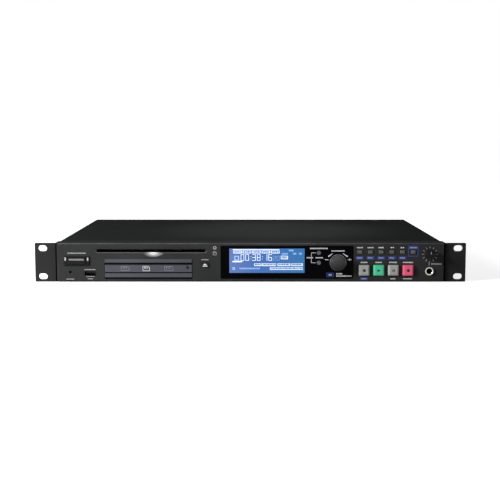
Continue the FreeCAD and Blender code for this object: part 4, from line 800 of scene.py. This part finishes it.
def inlet_trim():
    """Plated skins on the three blades of the mains inlet."""
    low, high = corners("mains_inlet")
    x, z = (low[0] + high[0]) / 2, (low[2] + high[2]) / 2
    blades = [bar(x - 7.0, z - 2.0, 2.2, 4.2), bar(x, z + 2.0, 2.2, 4.2), bar(x + 7.0, z - 2.0, 2.2, 4.2)]
    rear_slabs("inlet_blades", blades, high[1] - 17.9, 12.0, plated)


def rear_prints():
    """Rows of marks over the rear sockets."""
    panel = corners("rear_panel")[1][1]
    marks = []
    for number, node in enumerate(("balanced_inputs", "balanced_outputs")):
        low, high = corners(node)
        for step, x in enumerate((low[0] + 13.0, high[0] - 13.0)):
            marks += dashes(x, high[2] + 2.6, 12.0, 1.3, 300 + 2 * number + step)
    low, high = corners("phono_sockets")
    for column in range(3):
        marks += dashes(low[0] + 7.0 + 14.5 * column, high[2] + 1.9, 8.5, 1.2, 310 + column)
    marks += dashes((low[0] + high[0]) / 2, high[2] + 5.0, 26.0, 1.3, 315)
    marks += dashes(*(np.array(middle("sync_socket")) + [0, 10.5]), 12.0, 1.3, 316)
    low, high = corners("control_ports")
    marks += dashes(high[0] - 26.4, high[2] + 6.0, 20.0, 1.3, 317) + dashes(low[0] + 15.4, high[2] + 6.0, 13.0, 1.3, 318)
    x, z = middle("mains_inlet")
    marks += dashes(x, z + 15.2, 14.0, 1.3, 319)
    rear_slabs("rear_marks", marks, panel, INK, white_ink)


def screw_crosses():
    """Painted shade: near-black crosses that stand for the cross recesses on the heads of the side screws of the ears
    and of the cover.
    """
    outlines = []
    for node in ("ear_screws", "cover_screws"):
        low, high = corners(node)
        head = 2.9
        if node == "ear_screws":
            y = (low[1] + high[1]) / 2
            spots = [(y, low[2] + head), (y, high[2] - head)]
        else:
            z = (low[2] + high[2]) / 2
            spots = [(low[1] + head, z), (high[1] - head, z)]
        for side, x in ((-1, low[0]), (1, high[0])):
            outlines += [(side, x, bar(*spot, 2.6, 0.55)) for spot in spots]
            outlines += [(side, x, bar(*spot, 0.55, 2.6)) for spot in spots]
    points, faces = [], []
    for side, x, outline in outlines:
        first = len(points)
        points += [(x + side * rise, y, z) for rise in (0.0, 0.02) for y, z in outline[::side]]
        faces += [[first + 4 + step for step in range(4)], [first + step for step in (3, 2, 1, 0)]]
        faces += [(first + step, first + (step + 1) % 4, first + 4 + (step + 1) % 4, first + 4 + step)
                  for step in range(4)]
    put("side_screw_crosses", points, faces, slot_black, "case", smooth=None)


# Prints.

# Painted light: the white, grey and blue prints glow a little to brighten them; they have no backlight.
white_ink = lit("white_ink", (0.66, 0.66, 0.66), 0.12)
grey_ink = lit("grey_ink", (0.36, 0.36, 0.37), 0.06)
soft_ink = lit("soft_ink", (0.20, 0.20, 0.23), 0.0)
# Painted highlights on the power key and on the cheeks of its frame.
key_strip_painted_highlight = finish("key_strip_painted_highlight", (0.20, 0.20, 0.20), 0.3, gloss=0.3)
cheek_painted_highlight = finish("cheek_painted_highlight", (0.50, 0.50, 0.49), 0.3, gloss=0.3)
blue_ink = lit("blue_ink", (0.010, 0.034, 0.21), 0.16)
badge_ink = finish("badge_ink", (0.006, 0.014, 0.10), 0.4)
dark_ink = finish("dark_ink", (0.008, 0.008, 0.008), 0.5)

TEXT_TALL = 1.35


def ring_mark(x, z, inner, outer, count=16):
    """Flat ring as short four-sided pieces."""
    turn = np.linspace(0, 2 * math.pi, count + 1)
    ray = np.stack([np.cos(turn), np.sin(turn)], axis=1)
    return [np.array([ray[n] * inner, ray[n] * outer, ray[n + 1] * outer, ray[n + 1] * inner]) + [x, z]
            for n in range(count)]


def key_prints():
    """Marks round the small keys and the square keys, in rows over and under them."""
    white, blue, pale = [], [], []
    seed = 10
    for number in range(1, 7):
        x, z = middle(f"function_key_{number}")
        label_z = z + 4.9
        if number in (4, 5):
            way = -1 if number == 4 else 1
            white += [wedge(x - 1.1, label_z, way * 2.0, 1.9), wedge(x + 1.1, label_z, way * 2.0, 1.9)]
        elif number < 4:
            white += dashes(x, label_z, 6.5, TEXT_TALL, seed + number)
        if number < 6:
            blue.append(bar(x, z - 6.65, 8.4, 3.6))
            pale += dashes(x, z - 6.65, 5.6, 1.2, seed + 20 + number)
    x, z = middle("function_key_6")
    blue += frame_bars(x, z + 0.95, 11.2, 12.2, 0.75)
    blue.append(bar(x, z + 4.95, 9.6, 3.4))
    pale += dashes(x, z + 4.95, 7.2, 1.4, 55)
    for step, key in enumerate(("stop_key", "play_key", "pause_key", "record_key")):
        x, z = middle(key)
        white += dashes(x, z + 8.75, (7.4, 7.2, 9.4, 11.2)[step], TEXT_TALL, 80 + step)
    x, z = middle("stop_key")
    blue.append(bar(x, z - 9.7, 8.4, 3.0))
    pale += dashes(x, z - 9.7, 6.0, 1.1, 90)
    x, z = middle("pause_key")
    white += dashes(x, z - 9.7, 6.0, 1.2, 91)
    x, z = middle("record_key")
    white += dashes(x, z - 9.7, 10.0, 1.2, 92)
    slabs("white_labels", white, FACE, white_ink, "case")
    slabs("blue_labels", blue, FACE, blue_ink, "case")
    slabs("pale_labels", pale, FACE - INK, grey_ink, "case")


def panel_prints():
    """Marks over the rest of the fascia."""
    pale = []
    x, z = middle("power_bezel")
    pale += dashes(x, z + 8.8, 20.0, 1.2, 100)
    pale += ring_mark(-39.8, 38.6, 1.1, 1.9) + card_mark(-39.8, 32.4, 3.6, 3.6)
    x, z = middle("usb_socket")
    pale += dashes(x, z + 4.6, 12.5, 1.0, 101)
    pale += dashes(x, z - 3.1, 9.6, 0.8, 106) + dashes(x, z - 5.8, 5.6, 1.1, 102)
    x, z = middle("remote_jack")
    pale += dashes(x, z - 8.0, 9.0, 1.0, 103)
    x, z = middle("eject_key")
    pale += dashes(x, z + 5.9, 7.8, 1.1, 104)
    x, z = middle("level_knob")
    angle = np.radians(np.linspace(-150, 150, 11))
    for turn in angle:
        outward = np.array([math.sin(turn), math.cos(turn)])
        start, end = np.array([x, z]) + outward * 6.5, np.array([x, z]) + outward * 8.7
        pale.append(stroke(start, end, 0.35, 0.75))
    jack_x, jack_z = middle("phones_jack")
    pale.append(bar(jack_x, (jack_z + z) / 2 - 0.9, 0.5, 4.6))
    pale += dashes(jack_x + 8.0, jack_z + 8.0, 11.4, 1.3, 105)
    slabs("panel_labels", pale, FACE, grey_ink, "case")


def window_prints():
    """Marks on the display window: round keys' bracket and the dial's scale."""
    white, blue = [], []
    upper, lower = middle("menu_key"), middle("display_key")
    left = upper[0] - 8.4
    white += [stroke((left, upper[1]), (left, lower[1]), 0.45, 0.45)]
    for key in (upper, lower):
        white.append(stroke((left, key[1]), (key[0] - 3.6, key[1]), 0.45, 0.45))
    white += dashes(upper[0] + 0.1, upper[1] + 4.9, 20.0, 1.4, 120)
    white += dashes(left - 1.7, (upper[1] + lower[1]) / 2, 7.0, 1.3, 121)
    white += dashes(upper[0] + 0.5, (upper[1] + lower[1]) / 2, 8.0, 1.3, 122)
    x, z = middle("jog_dial")
    white += dashes(x, z + 12.9, 14.6, 1.4, 123)
    white += [bar(x - 12.6, z + 3.1, 4.0, 0.8), bar(x + 13.0, z + 3.1, 4.2, 0.8), bar(x + 13.0, z + 3.1, 0.8, 2.4)]
    white += [stroke((x - 10.8, z + 6.6), (x - 5.9, z + 10.0), 1.5, 0.5),
              stroke((x + 10.9, z + 6.4), (x + 5.5, z + 10.2), 1.5, 0.5)]
    badge = (x - 8.6, z - 14.1)
    blue.append(rounded_ring(4.5, 2.7, 0.8, 5) + badge)
    white += [*dashes(x + 6.8, z - 12.9, 17.0, 1.4, 124)[:5], *dashes(x + 6.8, z - 15.4, 17.0, 1.4, 125)]
    slabs("window_marks", white, GLASS, white_ink, "case")
    slabs("window_badge", blue, GLASS, badge_ink, "case")
    slabs("badge_mark", [rounded_ring(1.7, 0.9, 0.6, 4) + badge], GLASS - INK, grey_ink, "case")


def key_symbols():
    """Stop, play, pause, record and eject symbols on their keys, set into the dished faces."""
    def mark(key, outlines, ink, sink=0.1):
        near = corners(key)[0][1]
        slabs(key.replace("key", "symbol"), outlines, near + sink, ink, key, thick=sink + INK)

    x, z = middle("stop_key")
    mark("stop_key", [bar(x, z, 2.9, 2.9)], dark_ink)
    x, z = middle("play_key")
    mark("play_key", [wedge(x + 0.2, z, 3.7, 2.9)], dark_ink)
    x, z = middle("pause_key")
    mark("pause_key", [bar(x - 0.85, z, 0.9, 2.7), bar(x + 0.85, z, 0.9, 2.7)], dark_ink)
    x, z = middle("record_key")
    mark("record_key", [disc(x, z, 1.65)], dark_ink)
    x, z = middle("eject_key")
    mark("eject_key", [[(x - 2.5, z - 0.3), (x + 2.5, z - 0.3), (x, z + 1.8)], bar(x, z - 1.3, 5.0, 0.9)],
         white_ink, 0.04)


# Display picture.

LCD_PIXEL = 0.33
LCD_ACROSS, LCD_UP = 252, 82
BRIGHT, PALE, SOFT = 1, 2, 3
SEGMENTS = {"0": "abcdef", "1": "bc", "2": "abged", "3": "abgcd", "4": "fgbc", "5": "afgcd", "6": "afgedc",
            "7": "abc", "8": "abcdefg", "9": "abcdfg"}


def fill(picture, left, low, wide, tall, value=BRIGHT):
    picture[low:low + tall, left:left + wide] = value


def digit(picture, figure, left, low, wide, tall, line, value=BRIGHT):
    """Figure of seven strokes."""
    half = tall // 2
    strokes = {"a": (0, tall - line, wide, line), "g": (0, half - line // 2, wide, line), "d": (0, 0, wide, line),
               "b": (wide - line, half, line, tall - half), "c": (wide - line, 0, line, half),
               "f": (0, half, line, tall - half), "e": (0, 0, line, half)}
    for name in SEGMENTS[figure]:
        x, y, across, up = strokes[name]
        fill(picture, left + x, low + y, across, up, value)


def words(picture, left, low, wide, tall, seed, value=BRIGHT):
    """A row of uneven blocks, which stands where small lettering would."""
    random = np.random.default_rng(seed)
    at = left
    while at < left + wide - 1:
        block = int(random.integers(2, 5))
        fill(picture, at, low, min(block, left + wide - at), tall, value)
        at += block + 1


def tab(picture, left, low, wide, tall, seed):
    """Bright tab with dark blocks in it."""
    fill(picture, left, low, wide, tall)
    words(picture, left + 2, low + 2, wide - 3, tall - 3, seed, 0)


def lcd_pixels():
    """Which pixels are bright or pale: heading strip, running time, bar, tabs and small rows."""
    picture = np.zeros((LCD_UP, LCD_ACROSS), int)
    fill(picture, 10, 77, 158, 3)
    for number, left in enumerate(range(12, 160, 32)):
        tab(picture, left, 66, 29, 9, 200 + number)
    words(picture, 176, 62, 20, 5, 210, PALE)
    words(picture, 200, 73, 16, 6, 211, PALE)
    words(picture, 214, 62, 12, 6, 212, PALE)
    words(picture, 234, 62, 10, 6, 213, PALE)
    fill(picture, 15, 41, 17, 17, PALE)
    fill(picture, 19, 45, 9, 9, 0)
    left = 37
    for figure in "00:38:16":
        if figure == ":":
            fill(picture, left + 2, 46, 2, 2, SOFT)
            fill(picture, left + 2, 54, 2, 2, SOFT)
            left += 7
        else:
            digit(picture, figure, left, 41, 12, 22, 2, SOFT)
            left += 16
    for step, figure in enumerate("20"):
        digit(picture, figure, left + 12 * step, 42, 9, 15, 1, PALE)
    tab(picture, 173, 46, 24, 12, 214)
    fill(picture, 9, 36, 33, 4)
    for number, (left, wide) in enumerate(((83, 25), (110, 47), (162, 43), (209, 38))):
        tab(picture, left, 23, wide, 9, 220 + number)
    tab(picture, 136, 10, 111, 9, 230)
    fill(picture, 9, 10, 9, 9, PALE)
    fill(picture, 12, 13, 3, 3, 0)
    words(picture, 33, 12, 69, 5, 231, PALE)
    return picture


def lit_runs(picture, left, low):
    """One bar for each unbroken run of set pixels in each line."""
    outlines = []
    for line, pixels in enumerate(picture):
        change = np.flatnonzero(np.diff(np.concatenate([[0], pixels, [0]])))
        for start, stop in change.reshape(-1, 2):
            width = (stop - start) * LCD_PIXEL
            centre = left + (start + stop) / 2 * LCD_PIXEL
            outlines.append(bar(centre, low + (line + 0.5) * LCD_PIXEL, width, LCD_PIXEL))
    return outlines


def lcd_blue():
    """Backlight that turns from lavender blue on the left to a greener blue on the right."""
    material, tree, shader = nodes_of("lcd_blue")
    place = tree.nodes.new("ShaderNodeTexCoord")
    split = tree.nodes.new("ShaderNodeSeparateXYZ")
    tree.links.new(place.outputs["Object"], split.inputs["Vector"])
    across = tree.nodes.new("ShaderNodeMapRange")
    low, high = corners("lcd_module")
    across.inputs["From Min"].default_value = low[0] * MM
    across.inputs["From Max"].default_value = high[0] * MM
    tree.links.new(split.outputs["X"], across.inputs["Value"])
    ramp = tree.nodes.new("ShaderNodeValToRGB")
    ramp.color_ramp.elements[0].color = (0.19, 0.29, 0.66, 1)
    ramp.color_ramp.elements[1].color = (0.042, 0.235, 0.58, 1)
    ramp.color_ramp.elements.new(0.35).color = (0.085, 0.22, 0.63, 1)
    tree.links.new(across.outputs["Result"], ramp.inputs["Fac"])
    tree.links.new(ramp.outputs["Color"], shader.inputs["Emission Color"])
    shader.inputs["Emission Strength"].default_value = 0.74
    shader.inputs["Base Color"].default_value = (0.01, 0.01, 0.02, 1)
    shader.inputs["Roughness"].default_value = 0.15
    shader.inputs["Specular IOR Level"].default_value = 0.1
    return material


def display_picture():
    """Backlit panel with its bright and pale graphics, seen on the window."""
    x, z = middle("lcd_module")
    wide, tall = LCD_ACROSS * LCD_PIXEL + 0.9, LCD_UP * LCD_PIXEL + 0.3
    slabs("lcd_backlight", [bar(x, z, wide, tall)], GLASS, lcd_blue(), "case")
    left, low = x - LCD_ACROSS * LCD_PIXEL / 2, z - LCD_UP * LCD_PIXEL / 2
    picture = lcd_pixels()
    for name, value, colour, strength in (("lcd_bright", BRIGHT, (0.74, 0.82, 0.96), 0.55),
                                          ("lcd_soft", SOFT, (0.64, 0.74, 0.95), 0.55),
                                          ("lcd_pale", PALE, (0.22, 0.37, 0.74), 0.60)):
        runs = lit_runs((picture == value).astype(int), left, low)
        slabs(name, runs, GLASS - INK, lit(name, colour, strength), "case", thick=0.01)


# Camera, floor and light.

def camera():
    """The photograph's viewpoint: in front of the ears and a little above, looking slightly down."""
    data = bpy.data.cameras.new("camera")
    data.sensor_width = 36
    data.lens = 73.59
    thing = bpy.data.objects.new("camera", data)
    bpy.context.scene.collection.objects.link(thing)
    ear_front = corners("left_rack_ear")[0][1]
    thing.location = (-0.45 * MM, (ear_front - 1136.0) * MM, 170.0 * MM)
    thing.rotation_euler = Euler((math.radians(90 - 6.738), 0, 0))
    data.clip_start, data.clip_end = 0.01, 100
    bpy.context.scene.camera = thing


def seen_rays(tree):
    """1 for rays from the camera, off gloss and through glass."""
    path = tree.nodes.new("ShaderNodeLightPath")
    total = path.outputs["Is Camera Ray"]
    for name in ("Is Glossy Ray", "Is Transmission Ray"):
        add = tree.nodes.new("ShaderNodeMath")
        add.operation = "MAXIMUM"
        tree.links.new(total, add.inputs[0])
        tree.links.new(path.outputs[name], add.inputs[1])
        total = add.outputs[0]
    return total


def floor():
    """Wide pale floor that keeps the object's soft shadow.

    It glows less near the object, where the lamps light it, so that the shadow isn't washed out.
    """
    mesh = bpy.data.meshes.new("floor")
    reach = 30.0
    mesh.from_pydata([(-reach, -reach, 0), (reach, -reach, 0), (reach, reach, 0), (-reach, reach, 0)], [],
                     [(0, 1, 2, 3)])
    thing = bpy.data.objects.new("floor", mesh)
    bpy.context.scene.collection.objects.link(thing)
    material, tree, shader = nodes_of("floor_white")
    shader.inputs["Base Color"].default_value = (0.86, 0.86, 0.86, 1)
    shader.inputs["Roughness"].default_value = 1.0
    shader.inputs["Specular IOR Level"].default_value = 0.0
    shader.inputs["Emission Color"].default_value = (1, 1, 1, 1)
    place = tree.nodes.new("ShaderNodeTexCoord")
    away = tree.nodes.new("ShaderNodeVectorMath")
    away.operation = "LENGTH"
    tree.links.new(place.outputs["Object"], away.inputs[0])
    level = tree.nodes.new("ShaderNodeMapRange")
    level.interpolation_type = "SMOOTHSTEP"
    level.inputs["From Min"].default_value = 0.4
    level.inputs["From Max"].default_value = 1.2
    level.inputs["To Min"].default_value = 0.64
    level.inputs["To Max"].default_value = 0.89
    tree.links.new(away.outputs["Value"], level.inputs["Value"])
    glow = tree.nodes.new("ShaderNodeMath")
    glow.operation = "MULTIPLY"
    tree.links.new(seen_rays(tree), glow.inputs[0])
    tree.links.new(level.outputs["Result"], glow.inputs[1])
    tree.links.new(glow.outputs[0], shader.inputs["Emission Strength"])
    mesh.materials.append(material)


def world():
    """Soft white surroundings, plain white where the camera sees them."""
    world = bpy.data.worlds.new("studio")
    bpy.context.scene.world = world
    world.use_nodes = True
    tree = world.node_tree
    background = tree.nodes["Background"]
    background.inputs["Color"].default_value = (1, 1, 1, 1)
    level = tree.nodes.new("ShaderNodeMapRange")
    level.inputs["To Min"].default_value = 0.13
    level.inputs["To Max"].default_value = 1.0
    tree.links.new(seen_rays(tree), level.inputs["Value"])
    tree.links.new(level.outputs["Result"], background.inputs["Strength"])


def lamp(name, place, aim, size, power):
    data = bpy.data.lights.new(name, "AREA")
    data.shape = "RECTANGLE"
    data.size, data.size_y = size
    data.energy = power
    thing = bpy.data.objects.new(name, data)
    bpy.context.scene.collection.objects.link(thing)
    thing.location = place
    direction = np.array(aim) - np.array(place)
    flat = math.hypot(direction[0], direction[1])
    pitch = math.atan2(flat, -direction[2])
    turn = math.atan2(-direction[0], direction[1])
    thing.rotation_euler = Euler((pitch, 0, turn))


def cover_lamp():
    """Soft cone of light on the middle of the cover."""
    data = bpy.data.lights.new("cover_lamp", "SPOT")
    data.energy = 14.0
    data.spot_size = math.radians(27)
    data.spot_blend = 1.0
    data.shadow_soft_size = 0.03
    thing = bpy.data.objects.new("cover_lamp", data)
    bpy.context.scene.collection.objects.link(thing)
    thing.location = (0.03, 0.0, 0.75)


def lights():
    cover_lamp()
    lamp("key_lamp", (-0.80, -0.62, 0.42), (-0.12, -0.15, 0.0), (0.35, 0.3), 12.6)
    lamp("back_lamp", (0.05, 1.25, 0.85), (0.0, 0.0, 0.0), (0.6, 0.3), 8.0)


bpy.context.scene.view_settings.view_transform = "Standard"
camera()
floor()
world()
lights()
dress_cad()
transport_keys()
row_keys()
round_keys()
eject_cap()
slot_lip()
notch_scoop()
top_edge_highlight()
door_trim()
card_mouths()
ear_gap_shade()
power_trim()
jog_dial()
level_knob()
phones_ring()
key_prints()
panel_prints()
window_prints()
key_symbols()
display_picture()
balanced_trim()
phono_trim()
port_trim()
inlet_trim()
rear_prints()
screw_crosses()
